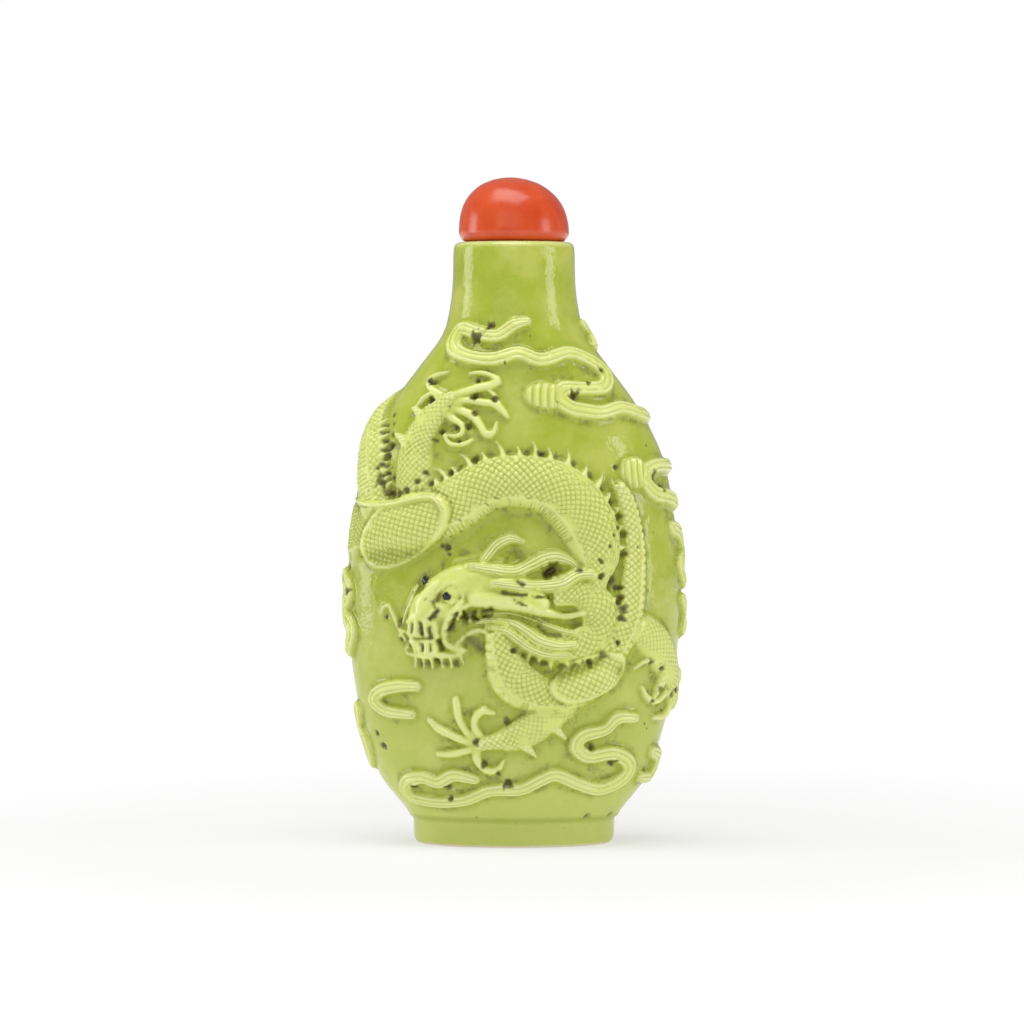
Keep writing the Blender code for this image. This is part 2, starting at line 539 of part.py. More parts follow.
def build_bottle():
    """Hollow bottle: relief wall, foot, recessed base, lip, bore and cavity in one closed body."""
    parts = relief_parts()
    angle, z, faces = relief_mesh(parts)
    place, _, _, outward = frame(angle, z)
    lift = lift_of(place, parts)
    solid = place + outward * lift[:, None]
    mesh = bmesh.new()
    verts = [mesh.verts.new(item) for item in solid]
    for face in faces:
        mesh.faces.new([verts[k] for k in face])
    chart = dict(zip(verts, angle))

    def rim(level):
        return sorted((v for v, h in zip(verts, z) if abs(h - level) < 1e-7), key=chart.get)[:-1]

    low = rim(RELIEF_LOW)
    high = rim(RELIEF_HIGH)

    foot = FOOT_HALF_WIDTH
    depth = DEPTH[0][1]
    ring = FOOT_RING_WIDTH
    steps = [(FOOT_TOP, 1.02 * foot, 0), (0.8 * FOOT_TOP, foot, 0),
             (0.15 * FOOT_TOP, 0.985 * foot, 0), (0.03 * FOOT_TOP, 0.965 * foot, 0), (0.0, 0.94 * foot, 0),
             (0.0, 0.96 * foot, 0.85 * ring), (0.2 * FOOT_RECESS, 0.97 * foot, ring),
             (FOOT_RECESS, 0.96 * foot, ring), (1.06 * FOOT_RECESS, 0.94 * foot, 1.25 * ring)]
    above = low
    for height, outer, inset in steps:
        below = add_ring(mesh, height, outer - inset, depth * outer - inset)
        bridge(mesh, below, above)
        above = below
    small = add_ring(mesh, 1.12 * FOOT_RECESS, 0.5 * foot, 0.5 * depth * foot, INNER_COLUMNS)
    bridge(mesh, above, small)
    cap(mesh, small, 1.15 * FOOT_RECESS)

    below = high
    top = BOTTLE_HEIGHT
    lip = LIP_ROUND
    for height in (0.925 * top, 0.965 * top):
        above = add_ring(mesh, height, float(half_width(height)), float(half_depth(height)))
        bridge(mesh, below, above)
        below = above
    edge = float(half_width(top))
    for turn in (20, 45, 70, 90):
        height = top - lip * (1 - math.sin(math.radians(turn)))
        radius = edge - lip * (1 - math.cos(math.radians(turn)))
        above = add_ring(mesh, height, radius, radius)
        bridge(mesh, below, above)
        below = above
    above = add_ring(mesh, top, BORE_RADIUS + BORE_EASE, BORE_RADIUS + BORE_EASE, INNER_COLUMNS)
    bridge(mesh, below, above)
    below = above
    inner = [(top - BORE_EASE, BORE_RADIUS, BORE_RADIUS), (0.9 * top, BORE_RADIUS, BORE_RADIUS)]
    for share, blend in ((0.85, 0.12), (0.81, 0.5), (0.77, 0.88), (0.72, 1.0), (0.66, 1.0), (0.58, 1.0),
                         (0.48, 1.0), (0.37, 1.0), (0.27, 1.0), (0.2, 1.0), (0.15, 1.0)):
        height = share * top
        a = max(0.0, float(half_width(height)) - BODY_WALL - BORE_RADIUS)
        b = max(0.0, float(half_depth(height)) - BODY_WALL - BORE_RADIUS)
        inner.append((height, BORE_RADIUS + a * blend, BORE_RADIUS + b * blend))
    floor = FOOT_RECESS + FLOOR_THICKNESS
    wide = inner[-1]
    for turn in (30, 60, 90):
        drop = math.sin(math.radians(turn))
        shrink = (1 - math.cos(math.radians(turn))) * 0.45 * wide[2]
        inner.append((wide[0] + (floor - wide[0]) * drop, wide[1] - shrink, wide[2] - shrink))
    for height, a, b in inner:
        above = add_ring(mesh, height, a, b, INNER_COLUMNS)
        bridge(mesh, below, above)
        below = above
    cap(mesh, below, floor)
    return mesh


def build_stopper():
    """Domed stopper with a plug that enters the bore."""
    mesh = bmesh.new()
    base = BOTTLE_HEIGHT + STOPPER_GAP
    plug = BORE_RADIUS - PLUG_CLEARANCE
    below = None
    dome = [(0.0, 0.885), (0.035, 0.945), (0.09, 0.985), (0.17, 1.0), (0.32, 0.985), (0.47, 0.945),
            (0.6, 0.88), (0.71, 0.79), (0.81, 0.67), (0.9, 0.51), (0.965, 0.31)]
    steps = [(-PLUG_LENGTH, 0.8 * plug), (-PLUG_LENGTH + 0.15 * plug, 0.92 * plug),
             (-0.75 * PLUG_LENGTH, plug * 0.97),
             (-0.4 * PLUG_CLEARANCE, plug), (0.0, plug + 0.4 * PLUG_CLEARANCE)]
    steps += [(share * STOPPER_HEIGHT, STOPPER_RADIUS * wide) for share, wide in dome]
    for height, radius in steps:
        lean = -STOPPER_LEAN * max(0.0, height / STOPPER_HEIGHT) ** 2
        ring = add_ring(mesh, base + height, radius, radius, STOPPER_COLUMNS)
        for v in ring:
            v.co.x += lean
        if below:
            bridge(mesh, below, ring)
        else:
            cap(mesh, ring[::-1], base + height)
        below = ring
    tip = mesh.verts.new((-STOPPER_LEAN, 0, base + STOPPER_HEIGHT))
    for k in range(STOPPER_COLUMNS):
        mesh.faces.new((below[k], below[(k + 1) % STOPPER_COLUMNS], tip))
    return mesh


def material(name, colour, roughness):
    """Plain Principled material."""
    made = bpy.data.materials.new(name)
    made.use_nodes = True
    shader = made.node_tree.nodes["Principled BSDF"]
    shader.inputs["Base Color"].default_value = (*colour, 1)
    shader.inputs["Roughness"].default_value = roughness
    return made


def finish(name, mesh, surface):
    """Object from a closed bmesh."""
    bmesh.ops.remove_doubles(mesh, verts=mesh.verts, dist=1e-6)
    bmesh.ops.triangulate(mesh, faces=mesh.faces[:])
    bmesh.ops.recalc_face_normals(mesh, faces=mesh.faces[:])
    data = bpy.data.meshes.new(name)
    mesh.to_mesh(data)
    mesh.free()
    data.materials.append(surface)
    made = bpy.data.objects.new(name, data)
    bpy.context.scene.collection.objects.link(made)
    return made


finish("bottle", build_bottle(), material("lime_glaze", (0.42, 0.52, 0.07), 0.15))
finish("stopper", build_stopper(), material("coral", (0.68, 0.1, 0.03), 0.25))
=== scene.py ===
import math

import bpy
import numpy as np
from mathutils import Euler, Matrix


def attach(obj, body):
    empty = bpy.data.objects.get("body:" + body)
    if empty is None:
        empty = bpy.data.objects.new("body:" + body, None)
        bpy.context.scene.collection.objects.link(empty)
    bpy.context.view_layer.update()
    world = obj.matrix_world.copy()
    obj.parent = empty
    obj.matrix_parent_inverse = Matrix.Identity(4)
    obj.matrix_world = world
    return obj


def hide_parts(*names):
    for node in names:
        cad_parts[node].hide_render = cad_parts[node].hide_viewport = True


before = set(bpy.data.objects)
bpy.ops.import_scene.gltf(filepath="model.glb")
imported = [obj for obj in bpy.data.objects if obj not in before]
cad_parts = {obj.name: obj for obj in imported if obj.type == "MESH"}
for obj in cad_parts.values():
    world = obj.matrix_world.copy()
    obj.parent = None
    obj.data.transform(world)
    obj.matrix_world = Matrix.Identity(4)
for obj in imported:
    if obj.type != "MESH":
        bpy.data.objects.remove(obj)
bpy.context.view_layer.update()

mm = 0.001
scene = bpy.context.scene

# camera: distance and height from the perspective of lip and foot, lens from the object's size in the picture
camera = dict(distance=537.0, height=52.9, pitch=1.61, side=-0.23, lens=165.2, sensor=36.0)

# bottle, in millimetres; outline and depth are pairs of a share of the height and a share of the width
bottle = dict(
    height=68.6, halfWidth=19.0, bore=3.25, wall=2.4, floor=3.6, footTop=3.0, footHalf=11.5,
    footRing=1.5, recess=1.0, lip=0.75, reliefLow=3.4, reliefHigh=61.6, cut=104.0,
    outline=[(0.044, 0.621), (0.06, 0.658), (0.079, 0.716), (0.108, 0.795), (0.149, 0.853), (0.208, 0.916),
             (0.305, 0.979), (0.437, 1.0), (0.554, 0.958), (0.657, 0.874), (0.738, 0.716), (0.797, 0.558),
             (0.848, 0.426), (0.898, 0.382), (1.0, 0.362)],
    depth=[(0.0, 0.64), (0.3, 0.6), (0.6, 0.6), (0.74, 0.7), (0.87, 0.97), (0.93, 1.0), (1.0, 1.0)],
    columns=552, rows=392)


# cells: how many blocks are fine and middling, where the front ends, how wide and how sharp the back is, the
# finest pattern that cells carry, and the step of a slant that marks another part
mesh = dict(fineBlocks=3700, middleBlocks=7000, frontSide=98.0, backColumns=0.7, backShare=0.35,
            finestStep=0.5, partJump=1.3)


def smooth(stations, at):
    # cubic through the stations, each slope weighted from the two steps beside it
    x, y = (np.array(column, float) for column in zip(*stations))
    step = np.diff(x)
    rise = np.diff(y) / step
    inner = (rise[:-1] * step[1:] + rise[1:] * step[:-1]) / (step[:-1] + step[1:])
    slope = np.concatenate(([rise[0]], inner, [rise[-1]]))
    at = np.clip(np.asarray(at, float), x[0], x[-1])
    i = np.clip(np.searchsorted(x, at) - 1, 0, len(step) - 1)
    h = step[i]
    t = (at - x[i]) / h
    return ((1 + 2 * t) * (1 - t) ** 2 * y[i] + t * (1 - t) ** 2 * h * slope[i]
            + t * t * (3 - 2 * t) * y[i + 1] + t * t * (t - 1) * h * slope[i + 1])


def eased(x):
    # smooth step from 0 to 1
    x = np.clip(x, 0, 1)
    return x * x * (3 - 2 * x)


def halfWidth(z):
    # outline's share at this height times the body's half width
    return bottle["halfWidth"] * smooth(bottle["outline"], np.asarray(z) / bottle["height"])


def halfDepth(z):
    # half width times the ratio of depth to width
    return halfWidth(z) * smooth(bottle["depth"], np.asarray(z) / bottle["height"])


def bodyFrame(angle, z):
    # oval of half width a and half depth b at each height: (a sin, -b cos, z), with its outward normal
    turn = np.radians(angle)
    a, b = halfWidth(z), halfDepth(z)
    da = (halfWidth(z + 0.05) - halfWidth(z - 0.05)) / 0.1
    db = (halfDepth(z + 0.05) - halfDepth(z - 0.05)) / 0.1
    s, c = np.sin(turn), np.cos(turn)
    point = np.stack([a * s, -b * c, z + 0 * s], -1)
    normal = np.cross(np.stack([a * c, b * s, 0 * s], -1), np.stack([da * s, -db * c, 1 + 0 * s], -1))
    return point, normal / np.linalg.norm(normal, axis=-1, keepdims=True)


def spotFrame(angle, percent):
    # point on the bottle with its normal and two tangents, to the right and up
    centre, outward = (part[0] for part in bodyFrame(np.array([float(angle)]),
                                                     np.array([percent / 100 * bottle["height"]])))
    right = np.cross((0, 0, 1.0), outward)
    right /= np.linalg.norm(right)
    return centre, outward, right, np.cross(outward, right)


def blurred(field, radius):
    # three box averages along each axis, wrapped round the bottle and held at its ends
    out = field
    size = 2 * radius + 1
    for axis, mode in ((0, "edge"), (1, "wrap")):
        for _ in range(3):
            pad = [(0, 0), (0, 0)]
            pad[axis] = (radius + 1, radius)
            total = np.cumsum(np.pad(out, pad, mode=mode), axis=axis)
            upper = np.take(total, range(size, total.shape[axis]), axis=axis)
            out = (upper - np.take(total, range(0, total.shape[axis] - size), axis=axis)) / size
    return out


def noise(shape, cell, seed):
    # random values on a coarse lattice, eased between its points, wrapped round the bottle
    rng = np.random.default_rng(seed)
    across = shape[1] // cell
    coarse = rng.random((shape[0] // cell + 2, across))
    y, x = np.arange(shape[0]) / cell, np.arange(shape[1]) * across / shape[1]
    i, j = y.astype(int), x.astype(int)
    fy, fx = eased(y - i)[:, None], eased(x - j)[None, :]
    after = (j + 1) % across
    low = coarse[i][:, j] * (1 - fx) + coarse[i][:, after] * fx
    high = coarse[i + 1][:, j] * (1 - fx) + coarse[i + 1][:, after] * fx
    return low * (1 - fy) + high * fy


class Clay:
    # heights over the plain bottle: columns even round its front and wider behind, rows even up its side;
    # the fine pattern is a strength, net, and two slants whose whole numbers are its furrows

    def __init__(self):
        cols, rows = bottle["columns"], bottle["rows"]
        fine = np.linspace(bottle["cut"] - 360, bottle["cut"], 2881)
        ring = bodyFrame(fine, np.full(2881, 0.45 * bottle["height"]))[0]
        spread = np.where(np.abs(fine[1:]) < mesh["frontSide"], 1.0, mesh["backColumns"])
        arc = np.concatenate(([0], np.cumsum(np.linalg.norm(np.diff(ring, axis=0), axis=1) * spread)))
        self.angle = np.interp(np.linspace(0, arc[-1], cols + 1)[:-1], arc, fine)
        tall = np.linspace(bottle["reliefLow"], bottle["reliefHigh"], 1600)
        side = np.stack([0.8 * halfWidth(tall), tall], -1)
        rise = np.concatenate(([0], np.cumsum(np.linalg.norm(np.diff(side, axis=0), axis=1))))
        self.z = np.interp(np.linspace(0, rise[-1], rows + 1), rise, tall)
        angle, z = np.meshgrid(self.angle, self.z)
        self.place, self.normal = bodyFrame(angle, z)
        self.height = np.zeros(angle.shape)
        self.base = self.height
        self.net = np.zeros(angle.shape)
        self.slants = np.zeros((2,) + angle.shape)
        self.pit = np.zeros(angle.shape)
        self.eye = np.zeros(angle.shape)
        self.ragged = noise(angle.shape, 3, 7) - 0.5

    def window(self, point, reach):
        # rows and columns that can lie within reach of the given points
        low, high = point.min(axis=0) - reach, point.max(axis=0) + reach
        near = ((self.place >= low) & (self.place <= high)).all(axis=-1)
        rows, cols = np.nonzero(near.any(axis=1))[0], np.nonzero(near.any(axis=0))[0]
        return slice(rows[0], rows[-1] + 1), slice(cols[0], cols[-1] + 1)

    def along(self, line, reach=1.6):
        # near a line: distance run s, signed offset t, offset over half width q, and the half width w
        point, outward = bodyFrame(line[:, 0], line[:, 1])
        area = self.window(point, line[:, 2].max() * reach)
        place = self.place[area].reshape(-1, 3)
        near = np.zeros(len(place), bool)
        for spot in point:
            near |= ((place - spot) ** 2).sum(-1) < (line[:, 2].max() * reach + 1.2) ** 2
        picked = place[near]
        span = np.diff(point, axis=0)
        size = np.linalg.norm(span, axis=1)
        run = np.concatenate(([0], np.cumsum(size)))
        best = np.full(len(picked), 9.0)
        s, t, w = np.zeros(len(picked)), np.zeros(len(picked)), np.ones(len(picked))
        for k in range(len(span)):
            away = picked - point[k]
            u = np.clip(away @ span[k] / size[k] ** 2, 0, 1)
            off = away - u[:, None] * span[k]
            gap = np.linalg.norm(off, axis=1)
            wide = line[k, 2] + (line[k + 1, 2] - line[k, 2]) * u
            closer = gap / wide < best
            best = np.where(closer, gap / wide, best)
            s = np.where(closer, run[k] + u * size[k], s)
            t = np.where(closer, np.sign(off @ np.cross(outward[k], span[k])) * gap, t)
            w = np.where(closer, wide, w)
        shape = self.height[area].shape
        whole = [np.full(shape[0] * shape[1], fill) for fill in (0.0, 0.0, 9.0, 1.0)]
        for field, values in zip(whole, (s, t, best, w)):
            field[near] = values
        return area, [field.reshape(shape) for field in whole], run[-1]

    def under(self, line):
        # ground below a line's points
        rows = np.clip(np.searchsorted(self.z, line[:, 1]), 0, len(self.z) - 1)
        cols = np.clip(np.searchsorted(self.angle, line[:, 0]), 0, len(self.angle) - 1)
        return self.base[rows, cols]

    def raiseTo(self, area, height, inside, net=0.0, slants=(0.5, 0.5)):
        # the higher of two surfaces wins, and brings its own fine pattern
        higher = inside & (height > self.height[area])
        self.height[area] = np.where(higher, height, self.height[area])
        self.net[area] = np.where(higher, net, self.net[area])
        for own, slant in zip(self.slants, slants):
            own[area] = np.where(higher, slant, own[area])

    def steps(self):
        # how far the slants change from each point to the next, along both axes
        changes = [np.abs(np.roll(own, -1, axis=axis) - own) for own in self.slants for axis in (0, 1)]
        return np.max(changes, axis=0)

    def carving(self):
        # fine pattern's height: root of the product of two folded sines, -0.6 in a furrow to 0.4 on a pad;
        # what is too fine for the cells is left to the glaze
        product = np.abs(np.sin(math.pi * self.slants[0]) * np.sin(math.pi * self.slants[1]))
        return (product ** 0.5 - 0.6) * self.net * np.clip((mesh["finestStep"] - self.steps()) / 0.25, 0, 1)

    def partPatterns(self):
        # no pattern at the two points where one part's slants meet another's
        for own in self.slants:
            for axis in (0, 1):
                jump = np.abs(np.roll(own, -1, axis=axis) - own) > mesh["partJump"]
                self.net[jump | np.roll(jump, 1, axis=axis)] = 0


def curve(points, spacing):
    # evenly spaced places and half widths on a smooth curve through (angle, percent of height, half width)
    knots = np.array(points, float) * (1, bottle["height"] / 100, 1)
    index = np.arange(len(knots))
    fine = np.linspace(0, len(knots) - 1, 24 * len(knots))
    dense = np.stack([smooth(list(zip(index, knots[:, k])), fine) for k in range(3)], -1)
    place = bodyFrame(dense[:, 0], dense[:, 1])[0]
    length = np.concatenate(([0], np.cumsum(np.linalg.norm(np.diff(place, axis=0), axis=1))))
    count = max(3, int(round(length[-1] / spacing)) + 1)
    even = np.linspace(0, length[-1], count)
    return np.stack([np.interp(even, length, dense[:, k]) for k in range(3)], -1)


def rounded(q, power=2.4, edge=0.62):
    # cross section of a raised part: 1 at its middle, 0 at its edge
    return np.clip(1 - np.clip(q, 0, 1) ** power, 0, 1) ** edge


# dragon: heights, and the pitches of its scales, in millimetres
dragon = dict(body=1.3, limb=1.05, claw=0.78, haunch=1.62, scaleLong=0.76, scaleWide=0.76, scaleHeight=0.28,
              plateHeight=0.24, rim=0.16, fin=0.85, pitDepth=0.42)

# lines are (angle from the front, percent of height, half width); belly: side, where it starts, plate pitch
bands = dict(
    strip=dict(belly=(-1, -0.3, 0.5), line=[
        (-138, 73.5, 2.3), (-122, 73.5, 2.4), (-104, 71.5, 2.4), (-88, 69, 2.4), (-74, 65.5, 2.5),
        (-66, 61, 2.6), (-59, 56.5, 2.4)]),
    tail=dict(belly=(1, 0.3, 1.2), size=1.8, line=[
        (-132, 74, 2.3), (-150, 71.5, 2.4), (-168, 66, 2.6), (-174, 56, 2.5), (-184, 47, 2.4),
        (-202, 41, 2.2),
        (-219, 34.5, 2.0), (-216, 25.5, 1.7), (-198, 20.5, 1.4), (-178, 23, 1.1), (-168, 29.5, 0.7)]),
    flank=dict(belly=(1, 0.35, 0.85), line=[
        (40, 60.1, 0.7), (43.5, 57.1, 1.2), (45.5, 50.9, 1.4), (44.5, 44.4, 1.6), (42, 37.8, 1.8),
        (36, 32.6, 1.9)]),
    arch=dict(belly=(-1, 0.6, 0.5), fade=13.0, line=[
        (-98, 51.5, 3.0), (-80, 51.8, 3.4), (-66, 52.4, 3.2), (-52, 53.3, 2.9), (-36, 53.9, 3.1),
        (-21.5, 56.7, 3.2), (-9, 60, 3.0), (4, 60.5, 3.1), (16, 58.9, 3.4),
        (24.5, 54.9, 3.6), (29, 50, 3.2), (28.5, 45.8, 2.0), (27.5, 42.9, 0.9)]),
    chest=dict(belly=(-1, 0.45, 1.0), line=[
        (-5, 36.1, 1.7), (-3.5, 32.2, 2.2), (0.5, 27.9, 2.7), (11, 25.4, 2.2), (22, 26.2, 2.0),
        (32.5, 28.4, 1.8)]),
    neck=dict(belly=(-1, 0.8, 0.5), line=[
        (13, 42.6, 1.9), (23, 42.6, 2.1), (29.5, 39.2, 2.4), (28, 35.3, 2.2), (16.5, 33.4, 1.9),
        (5.5, 34.8, 1.7), (-2, 36.4, 1.2)]),
)

# rows of fins: band, first and last share of its length, count, fin length, side of the band
finRows = [("arch", 0.38, 0.9, 17, 1.7, 1), ("neck", 0.12, 0.9, 14, 1.05, 1),
           ("strip", 0.58, 0.97, 10, 0.85, 1), ("tail", 0.1, 0.9, 22, 1.3, -1)]

limbs = [
    [(-38.8, 59.4, 2.5), (-40.4, 63, 2.4), (-41.2, 66, 2.2), (-40.5, 68.6, 1.9), (-37.8, 70.9, 1.7),
     (-33.9, 72.9, 1.3), (-30.8, 74.2, 0.8)],
    [(16, 24.3, 2.3), (11.8, 22.2, 2.1), (5.6, 19.9, 2.0), (-0.8, 18.6, 1.6), (-6.5, 18.1, 1.1),
     (-12.8, 17.5, 0.8)],
    [(38.5, 36.6, 1.7), (49, 35.8, 2.2), (60.5, 32.7, 2.4), (72, 28.4, 2.1), (78, 24.6, 1.4)],
    [(-178, 50, 1.9), (-160, 46, 2.0), (-146, 40.5, 1.7), (-137, 34, 1.2), (-131, 29.5, 0.8)],
    [(-43.4, 66.3, 1.2), (-51, 67.4, 0.6), (-55.7, 68.1, 0.2)],
    [(-39.5, 70.4, 1.2), (-46.6, 71.6, 0.6), (-51.3, 72.2, 0.2)],
    [(11.8, 21.7, 1.2), (16.3, 19.8, 0.6), (19.7, 18.5, 0.2)],
    [(1.5, 18.4, 1.1), (5.4, 16.9, 0.6), (8.3, 15.7, 0.2)],
    [(66, 29.5, 1.2), (62, 26.5, 0.6), (59.5, 25, 0.2)],
    [(-150, 43, 1.2), (-152, 39, 0.6), (-153.5, 36.5, 0.2)],
    [(-141, 37, 1.0), (-144.5, 33.5, 0.5), (-147, 31.5, 0.2)],
]

claws = [
    [(-36.9, 74.4, 0.6), (-44.1, 75.3, 0.5), (-48.6, 76, 0.5), (-49.7, 77, 0.4), (-46.2, 77.8, 0.3),
     (-40.9, 78.2, 0.2)],
    [(-37.1, 73.7, 0.5), (-43, 74.5, 0.4), (-46.8, 74, 0.4), (-48, 73.2, 0.4), (-49.8, 72.2, 0.3)],
    [(-32.5, 74.2, 0.7), (-25.5, 74.9, 0.6), (-18.1, 75.7, 0.6), (-11.5, 76.2, 0.6), (-8.6, 77, 0.5),
     (-12.9, 77.8, 0.3), (-18.4, 78.2, 0.3), (-25.1, 78.1, 0.2)],
    [(-28.7, 73.2, 0.7), (-22.3, 73.7, 0.5), (-15.6, 73.4, 0.5), (-9.3, 73.1, 0.5), (-5.4, 72.1, 0.5),
     (-2.6, 70.9, 0.2)],
    [(-13.8, 75.5, 0.2), (-9.8, 74.7, 0.3), (-7.5, 73.5, 0.3), (-5, 72.1, 0.3)],
    [(-29.1, 72.4, 0.7), (-23.1, 71.9, 0.6), (-17.9, 71.1, 0.6), (-14.1, 69.6, 0.5), (-11.6, 68.3, 0.5),
     (-8.7, 68.3, 0.4), (-7.3, 70.1, 0.2)],
    [(-31, 71.6, 0.7), (-25.5, 70.4, 0.5), (-21.6, 69.5, 0.4), (-21.4, 68.3, 0.3), (-24.3, 67.8, 0.3),
     (-27.1, 68, 0.2)],
    [(-29, 68, 0.3), (-26.2, 66.7, 0.3), (-22.1, 66.4, 0.3), (-18.9, 66.7, 0.3), (-16.7, 67.3, 0.2)],
    [(-15, 18.2, 0.6), (-18.2, 19.8, 0.5), (-20.2, 21.6, 0.5), (-21.1, 23.6, 0.5), (-20.9, 25.1, 0.3)],
    [(-15.1, 17.7, 0.6), (-19.4, 18.2, 0.6), (-24.1, 19, 0.5), (-28.8, 19.9, 0.5), (-32.7, 21.4, 0.3)],
    [(-14.9, 16.9, 0.6), (-20.3, 16.3, 0.5), (-26, 15.8, 0.5), (-30.9, 15.8, 0.3)],
    [(-14.1, 16.9, 0.7), (-14.8, 15.2, 0.6), (-12.6, 13.7, 0.5), (-9.4, 13.1, 0.5), (-6.1, 13.6, 0.4),
     (-4.4, 14.8, 0.2)],
    [(-11.9, 18.4, 0.6), (-14.7, 20.2, 0.5), (-14, 22, 0.5), (-11.3, 23, 0.5), (-7.7, 22.7, 0.3)],
    [(71, 26, 0.8), (62, 24.2, 0.5), (55, 25, 0.4), (52, 26.5, 0.3)],
    [(64, 29, 0.8), (59, 30.4, 0.5), (52.5, 31, 0.3), (46.5, 29.7, 0.2)],
    [(78, 24.4, 0.9), (73, 21.8, 0.6), (63, 21.4, 0.3)],
    [(-131, 29.5, 0.8), (-140, 25.5, 0.6), (-151, 25.5, 0.3)],
    [(-131, 29, 0.8), (-132, 23.5, 0.6), (-140, 20, 0.3)],
    [(-129, 29.5, 0.8), (-120, 26, 0.6), (-116, 21.5, 0.3)],
    [(-129, 31, 0.8), (-119, 32, 0.6), (-112, 29.5, 0.3)],
]

# scaled mounds of haunch and shoulder: angle, percent, half length, half height, turn in degrees
ovals = [(-42, 52.3, 6.3, 3.5, 32), (26.9, 28.5, 4.7, 2.4, 20)]
haunchRim = [(-80, 57.4, 0.3), (-72, 57, 0.5), (-60.5, 56.4, 0.6), (-50.8, 56.4, 0.6), (-41.7, 57.1, 0.58),
             (-34.5, 57.8, 0.55), (-29, 57.8, 0.5), (-25, 56, 0.45)]


def scaleSlants(s, t, scale=1.0):
    # lozenges between two slanting sets of furrows
    u, v = s / (dragon["scaleLong"] * scale), t / (dragon["scaleWide"] * scale)
    return np.array([u + v, u - v])


def paintBand(clay, band):
    # rounded body: scales on its back and flank, plates on its belly, a thin ridge between and along its
    # back; where the band says so it rises slowly from its start
    line = curve(band["line"], 0.8)
    area, (s, t, q, w), length = clay.along(line)
    side, start, pitch = band["belly"]
    across = side * t / w
    ridge = np.exp(-((across - start) / 0.06) ** 2) + np.exp(-((across + 0.9) / 0.05) ** 2)
    slants = np.where(across > start, s / pitch, scaleSlants(s, t, band.get("size", 1.0)))
    net = np.where(across > start, dragon["plateHeight"], dragon["scaleHeight"])
    net = net * eased((1 - q) / 0.14) * eased(np.abs(across - start) / 0.1)
    rise = dragon["body"] * (0.15 + 0.85 * eased(s / band.get("fade", 0.01)))
    clay.raiseTo(area, rise * rounded(q) + dragon["rim"] * ridge * eased(s / 2), q < 1, net, slants)
    return line


def paintLimb(clay, points):
    # rounded leg or spur with finer scales, plain towards its end
    area, (s, t, q, w), length = clay.along(curve(points, 0.8))
    size = 0.9 if abs(points[0][0]) < mesh["frontSide"] else 1.7
    net = dragon["scaleHeight"] * 0.9 * eased((1 - q) / 0.2)
    small = min(1.0, points[0][2] / 1.8)
    clay.raiseTo(area, (dragon["limb"] - 0.2 * (1 - small)) * rounded(q), q < 1, net * small,
                 scaleSlants(s, t, size))


def paintClaw(clay, points):
    # smooth tapered toe, highest in its middle
    area, (s, t, q, w), length = clay.along(curve(points, 0.4))
    rise = 0.8 + 0.3 * np.sin(math.pi * np.clip(s / length, 0, 1))
    clay.raiseTo(area, dragon["claw"] * rounded(q, 2.0, 0.6) * rise, q < 1)


def ovalShare(clay, oval):
    # window round an oval, its own x and y there, and the elliptical distance over its size
    centre, outward, right, upward = spotFrame(oval[0], oval[1])
    turn = math.radians(oval[4])
    c, s = math.cos(turn), math.sin(turn)
    right, upward = right * c + upward * s, upward * c - right * s
    area = clay.window(centre[None, :], oval[2] * 1.2)
    away = clay.place[area] - centre
    x, y, deep = away @ right, away @ upward, away @ outward
    return area, x, y, np.sqrt((x / oval[2]) ** 2 + (y / oval[3]) ** 2 + (deep / 4) ** 4)


def paintOval(clay, oval):
    # scaled mound with a smooth raised border
    area, x, y, q = ovalShare(clay, oval)
    inside = eased((1.03 - q) / 0.05)
    ground = blurred(clay.height, 2)[area]
    border = np.exp(-((q - 0.93) / 0.05) ** 2) - 0.7 * np.exp(-((q - 1.06) / 0.04) ** 2)
    mound = ground + (dragon["haunch"] - dragon["body"]) * rounded(q, 3)
    clay.height[area] = np.maximum(clay.height[area], mound)
    clay.height[area] += border * dragon["rim"] * 1.6
    clay.net[area] *= 1 - inside
    clay.net[area] += dragon["scaleHeight"] * eased((0.88 - q) / 0.05)
    for own, slant in zip(clay.slants, scaleSlants(x, y, 1.05)):
        own[area] = np.where(q < 0.97, slant, own[area])


